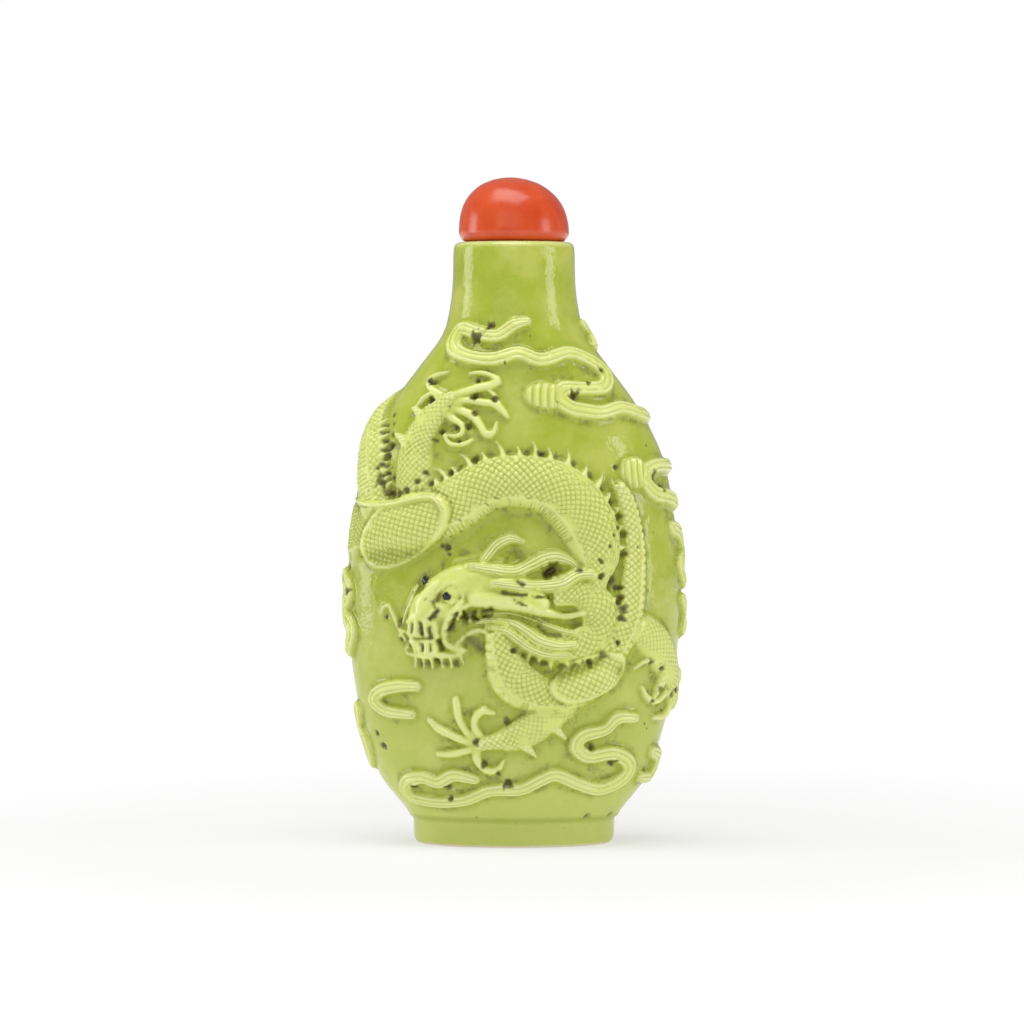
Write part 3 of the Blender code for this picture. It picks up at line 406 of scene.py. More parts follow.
def paintFins(clay, line, first, last, count, length, side, seed):
    # curved spikes off a band's edge, long and short by turns, a pit at the root between each two, carved and
    # painted dark as its shadow
    rng = np.random.default_rng(seed)
    point, outward = bodyFrame(line[:, 0], line[:, 1])
    spacing = (last - first) / (count - 1)
    reachAll = np.linalg.norm(np.diff(point, axis=0), axis=1).sum()
    for k in range(count):
        at = (first + spacing * k) * (len(line) - 1)
        i = min(int(at), len(line) - 2)
        u = at - i
        here = point[i] + (point[i + 1] - point[i]) * u
        half = line[i, 2] + (line[i + 1, 2] - line[i, 2]) * u
        tangent = (point[i + 1] - point[i]) / np.linalg.norm(point[i + 1] - point[i])
        sideways = np.cross(outward[i], tangent) * side
        reach = (0.58 if k % 2 else 1.0) * length * rng.uniform(0.9, 1.12)
        area = clay.window((here + sideways * half)[None, :], reach + 1.2)
        away = clay.place[area] - here
        close = np.abs(away @ outward[i]) < 3
        x, y = away @ tangent, away @ sideways - half * 0.94
        v = np.clip(y / reach, 0, 1)
        lean = -0.4 * reach * v * v
        thin = 0.34 * (1 - v) ** 1.6 + 0.12
        q = np.abs(x - lean) / thin
        inside = (y > -0.3) & (y < reach) & (q < 1) & close
        clay.raiseTo(area, dragon["fin"] * (1 - 0.5 * v) * rounded(q, 2.0, 0.6), inside)
        middle = 0.5 * spacing * reachAll
        gap = np.hypot((x - middle) / (0.56 * middle), (y - 0.3) / 0.34) * (1 + clay.ragged[area])
        # pit between two fins, carved and painted dark as its shadow
        hole = np.exp(-gap ** 4) * close * rng.uniform(0.4, 1.0)
        clay.height[area] -= hole * dragon["pitDepth"]
        clay.net[area] *= 1 - hole
        clay.pit[area] = np.maximum(clay.pit[area], hole)


# clouds: ribbons of three ridges, and rounded heads with ribs curved round a focus
cloud = dict(height=0.74, ridge=0.2)
clouds = [
    [(11, 86.7, 0.5), (-1, 86, 0.8), (-13, 84.2, 0.9), (-30, 84.7, 0.9), (-46, 85.4, 1.0), (-48, 82.8, 1.2),
     (-33, 81, 0.9), (-14, 80.4, 0.9), (2.5, 81.4, 0.9), (17, 80.3, 0.9), (37, 81.4, 0.9),
     (53.5, 80.1, 1.0),
     (61, 78, 1.3), (51.5, 75.8, 1.0), (35.5, 75.6, 0.9), (26, 75.6, 1.0), (21, 74.2, 1.1), (26, 72.5, 1.0),
     (34, 71.9, 1.0), (42.5, 71.7, 0.9), (56.5, 72.4, 0.9), (73, 71.5, 1.0), (88, 71, 0.9)],
    [(88, 62.8, 0.9), (68, 62.9, 0.9), (58, 62, 1.0), (56, 60.4, 1.0), (62, 58.4, 1.0), (73, 57.8, 1.0),
     (88, 56.8, 1.0)],
    [(-36.5, 26.9, 0.6), (-45, 26.8, 0.8), (-54.5, 26, 0.9), (-60, 24.4, 1.1), (-53.5, 22.7, 0.8),
     (-40.5, 22.2, 0.6)],
    [(-16.5, 11.7, 0.6), (-25.5, 12.3, 0.8), (-33.5, 11.1, 0.8), (-42, 11.8, 0.8), (-52.5, 10.8, 1.0),
     (-55, 8.7, 0.9), (-39, 7.8, 0.8), (-23, 8.3, 0.8), (-10.5, 9.9, 0.8), (2.5, 10.1, 0.8),
     (11, 11.6, 0.8),
     (17.5, 12.4, 0.8), (27.5, 11, 0.8), (40, 10, 0.9), (51.5, 11.5, 1.0), (53.5, 13.8, 1.1),
     (42.5, 15.8, 0.9),
     (30.5, 15.4, 0.9), (24.5, 17, 0.9), (27, 18.9, 0.9), (36, 19.8, 0.8), (41, 21.6, 0.8),
     (50.5, 21.6, 0.6)],
    [(-88, 44.5, 1.1), (-78, 42, 1.4), (-84, 38.7, 1.4), (-74, 35.8, 1.2), (-80, 32.6, 1.1)],
    [(-82, 22.4, 1.1), (-90, 19.4, 1.5), (-84, 16.4, 1.5), (-90, 13.9, 1.1)],
    [(74, 52.6, 0.9), (86, 51.4, 1.2), (90, 48.6, 1.2), (80, 46.4, 0.9), (88, 43.5, 0.9)],
    [(84, 40.6, 0.9), (92, 38.6, 1.2), (88, 35.6, 0.9)],
    [(88, 28.2, 0.9), (93, 25.6, 1.1), (86, 23.4, 0.9)],
    [(72, 15.6, 0.8), (84, 14.4, 1.1), (80, 11.6, 0.9), (68, 11.4, 0.7)],
    [(76, 86.3, 0.6), (87, 84.5, 0.7), (78, 82.6, 0.6)],
    [(-248, 70, 0.9), (-232, 73.4, 0.9), (-212, 70, 0.9), (-199, 74.5, 0.9), (-211, 78.8, 0.9),
     (-230, 79.3, 0.9), (-226, 84, 0.8), (-206, 85.6, 0.8), (-184, 84.2, 0.8), (-160, 84.8, 0.7)],
    [(-152, 56.5, 0.7), (-138, 60.2, 0.9), (-122, 58, 1.0), (-128, 53.6, 0.9), (-142, 51.5, 0.8),
     (-128, 47.5, 0.8), (-112, 49, 0.7)],
    [(-246, 57, 0.8), (-232, 60.4, 0.9), (-214, 58.6, 0.9), (-206, 54.6, 0.9), (-220, 51.4, 0.9),
     (-238, 52, 0.8), (-248, 48, 0.7)],
    [(-242, 12.5, 0.7), (-226, 10, 0.8), (-210, 12.6, 0.8), (-196, 9.8, 0.8), (-180, 10.4, 0.8),
     (-164, 12.6, 0.8), (-148, 9.8, 0.8), (-132, 12, 0.9), (-128, 16.6, 0.9), (-144, 18, 0.8),
     (-156, 15.6, 0.6)],
    [(-248, 39, 0.7), (-238, 42, 0.9), (-230, 38, 0.9), (-240, 33, 0.9), (-246, 27, 0.8), (-234, 24, 0.7)],
]
# angle, percent, half length, half height, turn, then the focus right of the centre and the rib pitch
cloudHeads = [(16, 74.4, 2.8, 1.65, -6, 3.0, 0.85), (51, 61.8, 2.1, 1.9, 0, 2.0, 0.8)]


def paintCloud(clay, points):
    # flat-topped ribbon with three ridges along it
    area, (s, t, q, w), length = clay.along(curve(points, 0.5))
    ridges = t / (w * 0.66) + 0.5
    clay.raiseTo(area, cloud["height"] * rounded(q, 3.0, 0.5), q < 1, cloud["ridge"] * eased((1 - q) / 0.2),
                 (ridges, ridges))


def paintCloudHead(clay, blob):
    # low mound whose ribs are arcs about a focus beside it
    area, x, y, q = ovalShare(clay, blob)
    radius = np.hypot(x - blob[5], y * 0.75)
    ribs = radius / blob[6] + 0.5
    clay.raiseTo(area, cloud["height"] * 1.05 * rounded(q, 3.0, 0.5), (q < 1) & (radius > 0.8),
                 cloud["ridge"] * 1.5 * eased((1 - q) / 0.2), (ribs, ribs))


# head: masses, strands as (points, rise, hair lines), furrows as (points, depth, painted shadow),
# beads as (spot, rise, eye)
head = dict(
    height=1.45, hair=0.3,
    masses=[
            [(-25.9, 42.5, 1.91), (-17.8, 43.7, 2.46), (-8.1, 43.9, 2.68), (0.3, 42.6, 2.23),
             (8.8, 40.6, 1.23)],
            [(-21.5, 40.3, 2.01), (-28.3, 40.2, 2.27), (-31.6, 37.6, 2.14), (-32.2, 35, 1.79),
             (-29.5, 33, 1.17)],
    ],
    strokes=[
        ([(-10.3, 47.3, 0.7), (-8.2, 48.8, 0.85), (-5.5, 50.3, 0.9), (-1.4, 51.2, 0.8),
          (2.4, 50.8, 0.5)], 0.7, 5),
        ([(-20.6, 47.5, 0.45), (-14.2, 48.1, 0.56), (-8.3, 48.5, 0.56), (-3.8, 47.5, 0.45)], 0.3, 0),
        ([(-15.2, 46.7, 0.45), (-6.5, 46, 0.78), (0.3, 45.7, 0.89), (5.5, 46.8, 1.01),
          (10.7, 48, 1.05), (15.2, 48.2, 1.0), (18.8, 47.6, 0.8), (21, 46.8, 0.5)], 0.65, 5),
        ([(-19.4, 46.3, 0.28), (-15.1, 45.5, 0.34), (-10.9, 45, 0.22)], 0.25, 0),
        ([(-8.9, 36.7, 0.45), (-3.1, 36.3, 0.56), (1.4, 34.9, 0.67), (5.5, 33.5, 0.67),
          (11.8, 32.5, 0.65), (18.2, 32.3, 0.4)], 0.5, 4),
        ([(-12.4, 37.7, 0.45), (-6.5, 37.9, 0.56), (-0.7, 37.4, 0.67), (3.8, 36.1, 0.78),
          (8.2, 34.6, 0.78), (14.5, 33.8, 0.7), (20.3, 33.9, 0.45)], 0.6, 4),
        ([(-8.2, 39, 0.45), (-1.4, 39, 0.56), (4.8, 38.2, 0.67), (10.6, 37.1, 0.56), (16.6, 36.1, 0.45),
          (21.7, 35.7, 0.22)], 0.6, 3),
        ([(-6.1, 43.9, 0.56), (2, 43.4, 0.78), (8.8, 43.3, 0.89), (15.7, 43.7, 0.9), (21.5, 45.2, 0.85),
          (26.5, 45.3, 0.6)], 0.65, 5),
        ([(-12.3, 41.6, 1.12), (-3.7, 41, 1.01), (3.7, 40.2, 0.78), (10.6, 39.2, 0.73),
          (17.3, 38.5, 0.56), (23.8, 39, 0.28)], 0.6, 0),
        ([(-17.2, 40, 0.34), (-13.7, 40.6, 0.39), (-8.2, 40.7, 0.45), (-2, 40, 0.45)], 0.35, 0),
        ([(-15.2, 37.9, 0.34), (-11.6, 38, 0.28), (-7.5, 38.5, 0.34)], 0.3, 0),
        ([(-26.6, 43.5, 0.58), (-28.6, 42, 0.93), (-30.7, 40.4, 1.06), (-31.9, 39.1, 0.71)], 0.45, 0),
        ([(-30.8, 37.6, 0.46), (-27.6, 39.1, 0.63), (-24.2, 39.6, 0.45)], 0.3, 0),
        ([(-34.5, 43.3, 0.3), (-36.8, 41.2, 0.3), (-39.1, 39, 0.31), (-41.6, 36.7, 0.25)], 0.4, 0),
        ([(-33.8, 41.8, 0.22), (-35.2, 40, 0.24), (-36.1, 38.2, 0.22)], 0.3, 0),
        ([(-37.9, 37.5, 0.28), (-33.6, 38.2, 0.36), (-29.2, 37.8, 0.34), (-26.9, 36.6, 0.35),
          (-26.6, 35, 0.26)], 0.4, 0),
        ([(-36.6, 37.2, 0.25), (-37.4, 35.6, 0.2)], 0.35, 0),
        ([(-33.5, 37.6, 0.31), (-33.8, 35.5, 0.24)], 0.35, 0),
        ([(-30.2, 37.3, 0.28), (-30, 35.2, 0.24)], 0.35, 0),
        ([(-27.9, 36.5, 0.21), (-27.4, 34.7, 0.18)], 0.3, 0),
        ([(-37.7, 34.4, 0.22), (-33, 34.3, 0.27), (-28.6, 34.5, 0.22)], 0.3, 0),
        ([(-36, 34, 0.24), (-35.5, 32.7, 0.22)], 0.3, 0),
        ([(-33.1, 34, 0.24), (-32.9, 32.5, 0.24)], 0.3, 0),
        ([(-30.2, 34, 0.24), (-29.9, 32.5, 0.24)], 0.3, 0),
        ([(-27.8, 34.4, 0.23), (-27.3, 32.7, 0.21)], 0.3, 0),
        ([(-39.7, 32.3, 0.28), (-32.8, 32, 0.39), (-26.4, 32.1, 0.45), (-20.7, 32.1, 0.45),
          (-16.7, 33, 0.28)], 0.45, 0),
        ([(-17.2, 41, 0.34), (-19.8, 39.5, 0.45), (-22.4, 37.8, 0.52), (-24.3, 36, 0.58),
          (-24, 34.2, 0.58), (-21.1, 33.3, 0.45), (-17.4, 33.1, 0.28)], 0.55, 0),
        ([(-21.8, 33.1, 0.34), (-18.1, 34.6, 0.45), (-14.8, 35.9, 0.39), (-11, 36.2, 0.34),
          (-7.9, 35.4, 0.22)], 0.4, 0),
        ([(-26, 40.1, 0.28), (-23, 40.3, 0.28), (-19.7, 40.9, 0.28)], 0.25, 0),
        ([(-26, 41.2, 0.21), (-24.4, 43, 0.3), (-21.1, 43.9, 0.34), (-18.2, 43.2, 0.32),
          (-16.8, 41.6, 0.23)], 0.35, 0),
        ([(-35.7, 31.7, 0.32), (-36.4, 30, 0.12)], 0.5, 0),
        ([(-32.4, 31.5, 0.31), (-33, 29.9, 0.12)], 0.5, 0),
        ([(-29.2, 31.6, 0.33), (-29.4, 29.8, 0.12)], 0.5, 0),
        ([(-25.6, 31.6, 0.33), (-25.4, 30, 0.12)], 0.5, 0),
        ([(-22.2, 31.6, 0.3), (-22, 30, 0.12)], 0.5, 0),
        ([(-18.5, 32, 0.27), (-17.5, 30.5, 0.11)], 0.5, 0),
        ([(-39.9, 34.6, 0.25), (-42.1, 36, 0.31), (-43.9, 37.5, 0.32), (-45.7, 38.9, 0.31),
          (-47.6, 40.1, 0.26), (-50.3, 39.7, 0.26), (-51.6, 38.6, 0.19)], 0.6, 0),
        ([(-42.7, 34.9, 0.19), (-40.7, 35.9, 0.18), (-38.1, 35.4, 0.19), (-37.7, 34.1, 0.2),
          (-39.6, 33.1, 0.17)], 0.45, 0),
    ],
    grooves=[
        ([(-28.4, 38.1, 0.18), (-25.7, 39.3, 0.25)], 0.5, 1),
        ([(-18.7, 39.1, 0.14), (-20.9, 37.5, 0.23), (-22.4, 36.2, 0.18)], 0.4, 1),
        ([(-16.9, 39.3, 0.2), (-16.7, 38.3, 0.41)], 0.6, 1),
        ([(-13.7, 39.3, 0.25), (-14.1, 38.4, 0.29), (-12, 38, 0.13)], 0.6, 1),
        ([(-10.6, 39.3, 0.17), (-7.8, 39.7, 0.22)], 0.4, 0.9),
        ([(-10.3, 38.5, 0.17), (-7.5, 38.7, 0.17)], 0.35, 0.8),
        ([(10.9, 45.4, 0.45), (13.4, 46, 0.56)], 0.9, 1),
        ([(0, 49.1, 0.56), (1.7, 48.3, 0.56)], 0.35, 0.35),
        ([(1.3, 44.1, 0.22), (3, 43.6, 0.2)], 0.35, 0.9),
        ([(-3.7, 42.5, 0.22), (0, 42.1, 0.16), (4.1, 42, 0.18)], 0.35, 0.9),
        ([(5.8, 41.8, 0.11), (11.6, 41.5, 0.11)], 0.25, 0.8),
        ([(0, 41.1, 0.11), (4.1, 40.2, 0.13)], 0.25, 0.8),
        ([(7.9, 36.9, 0.2), (11, 35.7, 0.22), (15.2, 35.4, 0.22)], 0.4, 0.6),
        ([(-35.2, 37.1, 0.15), (-35.7, 35.9, 0.12)], 0.3, 0.8),
        ([(-31.8, 37.3, 0.19), (-31.7, 35.6, 0.18)], 0.4, 1),
        ([(-28.9, 36.5, 0.17), (-28.6, 35, 0.16)], 0.35, 0.9),
        ([(-35.1, 34.9, 0.17), (-29.4, 34.9, 0.17)], 0.3, 0.5),
        ([(-31.6, 33.8, 0.19), (-31.5, 32.9, 0.14)], 0.35, 0.9),
        ([(-28.8, 34, 0.13), (-28.5, 33, 0.12)], 0.3, 0.7),
        ([(-26.1, 34.4, 0.21), (-25.2, 33.1, 0.19)], 0.4, 1),
        ([(-34.1, 30.7, 0.27), (-34.1, 30.5, 0.27)], 0.3, 0.6),
        ([(-30.8, 30.9, 0.29), (-30.8, 30.7, 0.29)], 0.3, 0.7),
        ([(-27.4, 31.3, 0.3), (-27.2, 30.9, 0.3)], 0.35, 0.9),
        ([(-24, 30.8, 0.25), (-23.8, 30.6, 0.25)], 0.3, 0.6),
        ([(-20.4, 31, 0.27), (-20.1, 30.6, 0.25)], 0.3, 0.7),
        ([(-15.6, 34.8, 0.45), (-13.1, 33.9, 0.67), (-11.4, 33.1, 0.45)], 0.35, 0.55),
        ([(-24.8, 42.2, 0.14), (-25.6, 41.1, 0.16)], 0.25, 0.8),
        ([(-38.1, 34.6, 0.2), (-37.8, 33.6, 0.15)], 0.3, 0.8),
        ([(-42, 37.8, 0.19), (-42.5, 36.7, 0.19)], 0.3, 0.8),
        ([(-27.1, 40.7, 0.15), (-26.4, 39.9, 0.15)], 0.2, 0.6),
    ],
    dots=[((-20.8, 41.9, 0.91), 0.3, 0.0), ((-22.2, 41.7, 0.48), 0.2, 1.0),
    ((-31.3, 44.3, 0.53), 0.35, 1.0)])

# holes that opened in the firing, painted dark inside as their shadow, and brown specks: angle, percent of
# height, radius
shadedPits = [
    (-55.2, 60.2, 0.57), (-51, 58.6, 0.46), (-45.2, 58.3, 0.46), (-41.1, 59.1, 0.4), (-36.3, 60.3, 0.29),
    (-33.7, 61.8, 0.29), (-55.3, 61.2, 0.34), (-50, 60.9, 0.29), (-57.2, 66.3, 0.46), (-60, 68.2, 0.29),
    (-63.5, 69.9, 0.29), (-68.5, 71.4, 0.25), (-79.5, 73, 0.23), (-56.6, 64.6, 0.34), (-57.4, 63, 0.29),
    (-59, 62.3, 0.23), (-48.4, 76.5, 0.34), (-41.2, 73.5, 0.46), (-19.7, 77, 0.4), (-19, 74, 0.4),
    (-8.5, 73.7, 0.4), (-17.1, 71.4, 0.34), (-18.9, 69.5, 0.4), (-24.8, 69.3, 0.29), (-30.8, 68.5, 0.34),
    (-32.5, 67.2, 0.29), (-22, 66.9, 0.18), (-28.2, 83.9, 0.69), (57.1, 78.3, 0.34), (40.8, 76.5, 0.34),
    (29.6, 74.5, 0.46), (62.9, 61.3, 0.4), (69.5, 59.6, 0.46), (41.3, 62.9, 0.23), (-20, 86, 0.4),
    (29.7, 47.4, 0.29), (30.3, 45.1, 0.4), (35, 44.4, 0.4), (37.5, 43, 0.4), (38.5, 41.5, 0.34),
    (38.6, 39.7, 0.4), (37.9, 38, 0.4), (35.7, 51.6, 0.23), (33.7, 49.8, 0.21), (38.1, 52.8, 0.21),
    (37.7, 55.5, 0.21), (45, 49.6, 0.18), (-82.3, 46.1, 0.46), (-84.6, 43.6, 0.46), (-76.2, 42, 0.46),
    (-23.4, 49.7, 0.34), (-25.4, 50, 0.29), (-22.6, 48.6, 0.23), (-2.6, 21.2, 0.34), (54.3, 30.8, 0.34),
    (60.8, 29.7, 0.34), (58.1, 24.3, 0.29), (62, 26.1, 0.34), (72.7, 25.2, 0.34), (76.1, 25.8, 0.34),
    (70.2, 12.5, 0.23), (-11.7, 14.4, 0.34), (-6.6, 12.6, 0.29), (-2.5, 11.1, 0.46), (42.4, 4.9, 0.34),
    (57.6, 4.6, 0.23), (64.6, 4.9, 0.23), (43.6, 14.1, 0.34), (31.4, 16.9, 0.34), (-49.1, 10.2, 0.29),
    (-30, 10.3, 0.34), (-29.4, 8.6, 0.29), (-66.4, 18.5, 0.34), (-63.7, 16.6, 0.34), (-42.2, 34.6, 0.23),
    (-49.4, 38.2, 0.29), (-14.3, 18, 0.35)]

specks = [
    (-1.7, 11.1, 0.14), (-6.6, 12.6, 0.12), (-5.5, 79.8, 0.14), (15.8, 70.4, 0.16), (29.9, 65.4, 0.16),
    (20.5, 68.2, 0.1), (-15.2, 34.8, 0.1), (-29.8, 41.2, 0.1), (16.3, 90.3, 0.1), (35.8, 57.5, 0.12)]


def paintStroke(clay, points, rise, hairs):
    # strand laid over what is there: its top follows the smoothed ground below plus its own rise
    line = curve(points, 0.4)
    ground = np.convolve(np.pad(clay.under(line), 3, mode="edge"), np.ones(7) / 7, mode="valid")
    area, (s, t, q, w), length = clay.along(line)
    top = np.interp(s, np.linspace(0, length, len(line)), ground) + rise
    strands = hairs * t / (2 * w) + 0.5
    net = head["hair"] * eased((1 - q) / 0.3) * (hairs > 0)
    clay.raiseTo(area, top - (rise + 0.35) * (1 - rounded(q, 2.2, 0.6)), q < 1, net, (strands, strands))


def paintGroove(clay, points, depth, pit):
    # soft furrow along a line, painted dark as its shadow as far as its pit value says
    area, (s, t, q, w), length = clay.along(curve(points, 0.3), 3.0)
    hole = np.exp(-(q * (0.95 + clay.ragged[area])) ** 2)
    clay.height[area] -= hole * depth
    clay.net[area] *= 1 - hole
    clay.pit[area] = np.maximum(clay.pit[area], hole * pit)


def paintDot(clay, spot, rise, eye=0.0, pit=0.0):
    # dome of the given radius with a furrow round it, or a pit where the rise is negative
    centre = spotFrame(spot[0], spot[1])[0]
    area = clay.window(centre[None, :], spot[2] * 3 + 0.4)
    q = np.linalg.norm(clay.place[area] - centre, axis=-1) / spot[2]
    if rise > 0:
        dome, furrow = np.sqrt(np.clip(1 - q * q, 0, 1)), np.exp(-((q - 1.3) / 0.25) ** 2)
        clay.height[area] += dome * rise - furrow * rise * 0.5
    else:
        q = q * (1 + clay.ragged[area])
        clay.height[area] += np.exp(-q ** 4) * rise
        clay.net[area] *= 1 - np.exp(-q ** 4)
    clay.eye[area] = np.maximum(clay.eye[area], (q < 1.02) * eye)
    clay.pit[area] = np.maximum(clay.pit[area], np.exp(-q ** 4) * pit)


def grown(mask):
    # blocks touching a marked block, wrapped round the bottle
    out = mask | np.roll(mask, 1, axis=1) | np.roll(mask, -1, axis=1)
    wide = out.copy()
    wide[1:] |= out[:-1]
    wide[:-1] |= out[1:]
    return wide


def blockSizes(clay):
    # the sharpest blocks, the front first, get cells of one step, their neighbours and the next sharpest
    # all round get two, plain ground four or eight
    rows, cols = bottle["rows"] // 4, bottle["columns"] // 4
    sharp = np.abs(blurred(clay.height, 2) - clay.height)
    weight = np.where(np.abs(clay.angle) < mesh["frontSide"], 1.0, mesh["backShare"])
    ranks = []
    for field in ((sharp + 0.12 * clay.pit + 0.3 * clay.eye + 0.3 * clay.net) * weight, sharp):
        ranks.append(field[:-1].reshape(rows, 4, cols, 4).max(axis=(1, 3)))
    fine = ranks[0] > np.sort(ranks[0].ravel())[-mesh["fineBlocks"]]
    fine[[0, 1, -2, -1]] = False
    middle = grown(fine) | (ranks[1] > np.sort(ranks[1].ravel())[-mesh["middleBlocks"]])
    middle[[0, -1]] = False
    level = np.where(fine, 0, np.where(middle, 1, 2))
    plain = ~grown(level < 2)
    plain[[0, 1, -2, -1]] = False
    four = plain.reshape(rows // 2, 2, cols // 2, 2).all(axis=(1, 3))
    return np.where(four.repeat(2, axis=0).repeat(2, axis=1), 3, level)


def quadMesh(level):
    # cells by their block's size; a cell beside smaller ones takes their middle point into its side
    rows, cols = bottle["rows"], bottle["columns"]
    faces = []
    for tier, size in enumerate((1, 2, 4, 8)):
        r, k = np.meshgrid(np.arange(0, rows, size), np.arange(0, cols, size), indexing="ij")
        mine = level[r // 4, k // 4] == tier
        r, k = r[mine], k[mine]
        half = size // 2
        code = np.zeros(len(r), int)
        for side, (down, along) in enumerate(((-1, 0), (0, size), (size, 0), (0, -1))):
            beside = level[np.clip(r + down, 0, rows - 1) // 4, ((k + along) % cols) // 4]
            inside = (r + down >= 0) & (r + down < rows)
            code |= (inside & (beside < tier)).astype(int) << side
        corner = [(r, k), (r, k + size), (r + size, k + size), (r + size, k)]
        midway = [(r, k + half), (r + half, k + size), (r + size, k + half), (r + half, k)]
        for value in np.unique(code):
            pick = code == value
            ring = []
            for n in range(4):
                ring += [corner[n], midway[n]] if value >> n & 1 else [corner[n]]
            faces.append(np.stack([a[pick] * cols + b[pick] % cols for a, b in ring], -1))
    return faces


# plain turned parts: (height, half width, inset) of the foot, as shares worked out from the bottle's values
def footProfile():
    tall, foot, ring, recess = (bottle[name] for name in ("footTop", "footHalf", "footRing", "recess"))
    outside = [(1.04, 1.032), (1.0, 1.015), (0.94, 1.003), (0.84, 0.999), (0.65, 1.0), (0.45, 0.998),
               (0.28, 0.993),
               (0.17, 0.986), (0.09, 0.976), (0.035, 0.962), (0.008, 0.948), (0, 0.938)]
    under = [(0, 0.955, 0.85), (0.05, 0.963, 0.93), (0.16, 0.97, 1.0), (0.6, 0.968, 1.0), (0.9, 0.962, 1.0),
             (1.03, 0.95, 1.15), (1.08, 0.92, 1.4), (1.12, 0.7, 1.4), (1.14, 0.4, 0.8)]
    rings = [(tall * a, foot * b, 0) for a, b in outside]
    return rings + [(recess * a, foot * b, ring * c) for a, b, c in under]


def boreProfile():
    # (height, half width, half depth): rounded mouth, straight bore, cavity one wall inside the outline,
    # round floor
    top, bore, wall = bottle["height"], bottle["bore"], bottle["wall"]
    inner = [(top, bore + 1.2, bore + 1.2), (top, bore + 0.4, bore + 0.4),
             (top - 0.1, bore + 0.12, bore + 0.12),
             (top - 0.35, bore, bore), (0.95 * top, bore, bore), (0.9 * top, bore, bore)]
    for share in np.linspace(0.87, 0.15, 11):
        z = share * top
        blend = float(eased((0.88 - share) / 0.14))
        a, b = (max(bore, float(half(z)) - wall) for half in (halfWidth, halfDepth))
        inner.append((z, bore + (a - bore) * blend, bore + (b - bore) * blend))
    low, wide, deep = inner[-1]
    floor = bottle["recess"] + bottle["floor"]
    for turn in np.radians((20, 40, 60, 80, 90)):
        shrink = (1 - math.cos(turn)) * 0.5 * deep
        inner.append((low + (floor - low) * math.sin(turn), wide - shrink, deep - shrink))
    return inner


def bottleMesh(clay, level):
    # relief skin, then rings up over the lip and down the bore and cavity, and rings under the foot
    faces = quadMesh(level)
    cols, rows = bottle["columns"], bottle["rows"]
    skin = (clay.place + clay.normal * clay.height[..., None]).reshape(-1, 3)
    used = np.unique(np.concatenate([face.ravel() for face in faces]))
    lookup = np.zeros((rows + 1) * cols, int)
    lookup[used] = np.arange(len(used))
    verts = [skin[used]]
    loops = [lookup[face] for face in faces]
    turns = np.radians(clay.angle[::4])
    n = len(turns)
    step = np.arange(n)

    def addRing(z, a, b):
        start = sum(len(part) for part in verts)
        verts.append(np.stack([a * np.sin(turns), -b * np.cos(turns), np.full(n, z)], -1))
        return np.arange(start, start + n)

    def join(lower, upper):
        loops.append(np.stack([lower, np.roll(lower, -1), np.roll(upper, -1), upper], -1))

    def closeWith(ring, z):
        verts.append(np.array([[0.0, 0.0, z]]))
        middle = sum(len(part) for part in verts) - 1
        loops.append(np.stack([ring, np.roll(ring, -1), np.full(n, middle)], -1))

    above = lookup[step * 4]
    for z, outer, inset in footProfile():
        below = addRing(z, outer - inset, bottle["depth"][0][1] * outer - inset)
        join(below, above)
        above = below
    closeWith(above[::-1], 1.15 * bottle["recess"])
    top, lip = bottle["height"], bottle["lip"]
    below = lookup[rows * cols + step * 4]
    for z in np.linspace(bottle["reliefHigh"] + 0.7, top - lip, 8)[:-1]:
        above = addRing(z, float(halfWidth(z)), float(halfDepth(z)))
        join(below, above)
        below = above
    for turn in np.radians(np.linspace(0, 90, 7)):
        radius = float(halfWidth(top)) - lip * (1 - math.cos(turn))
        above = addRing(top - lip * (1 - math.sin(turn)), radius, radius)
        join(below, above)
        below = above
    for z, a, b in boreProfile():
        above = addRing(z, a, b)
        join(below, above)
        below = above
    closeWith(below, bottle["recess"] + bottle["floor"])
    return np.concatenate(verts), loops, used


def meshObject(name, verts, loops, fields):
    # mesh from whole arrays: faces of each corner count in turn, values in attributes on the points
    data = bpy.data.meshes.new(name)
    data.vertices.add(len(verts))
    data.vertices.foreach_set("co", (verts * mm).ravel())
    corners = np.concatenate([face.ravel() for face in loops])
    sizes = np.concatenate([np.full(len(face), face.shape[1]) for face in loops])
    data.loops.add(len(corners))
    data.loops.foreach_set("vertex_index", corners.astype(np.int32))
    data.polygons.add(len(sizes))
    data.polygons.foreach_set("loop_start", np.concatenate(([0], np.cumsum(sizes)[:-1])).astype(np.int32))
    data.polygons.foreach_set("loop_total", sizes.astype(np.int32))
    data.update(calc_edges=True)
    data.polygons.foreach_set("use_smooth", np.ones(len(sizes), bool))
    for field, values in fields.items():
        data.attributes.new(field, "FLOAT", "POINT").data.foreach_set("value", values.astype(np.float32))
    data.validate()
    made = bpy.data.objects.new(name, data)
    scene.collection.objects.link(made)
    print(name, "triangles", int((sizes - 2).sum()))
    return made


def paintDragon(clay):
    # body bands, legs, mounds and the haunch's rim, then clouds, claws and fins on the bands' edges
    lines = {name: paintBand(clay, band) for name, band in bands.items()}
    for points in limbs:
        paintLimb(clay, points)
    for oval in ovals:
        paintOval(clay, oval)
    clay.base = blurred(clay.height, 3)
    paintStroke(clay, haunchRim, 0.35, 2)
    for points in clouds:
        paintCloud(clay, points)
    for blob in cloudHeads:
        paintCloudHead(clay, blob)
    for points in claws:
        paintClaw(clay, points)
    for seed, (name, first, last, count, length, side) in enumerate(finRows):
        paintFins(clay, lines[name], first, last, count, length, side, 40 + seed)
    print("body, limbs and clouds painted")


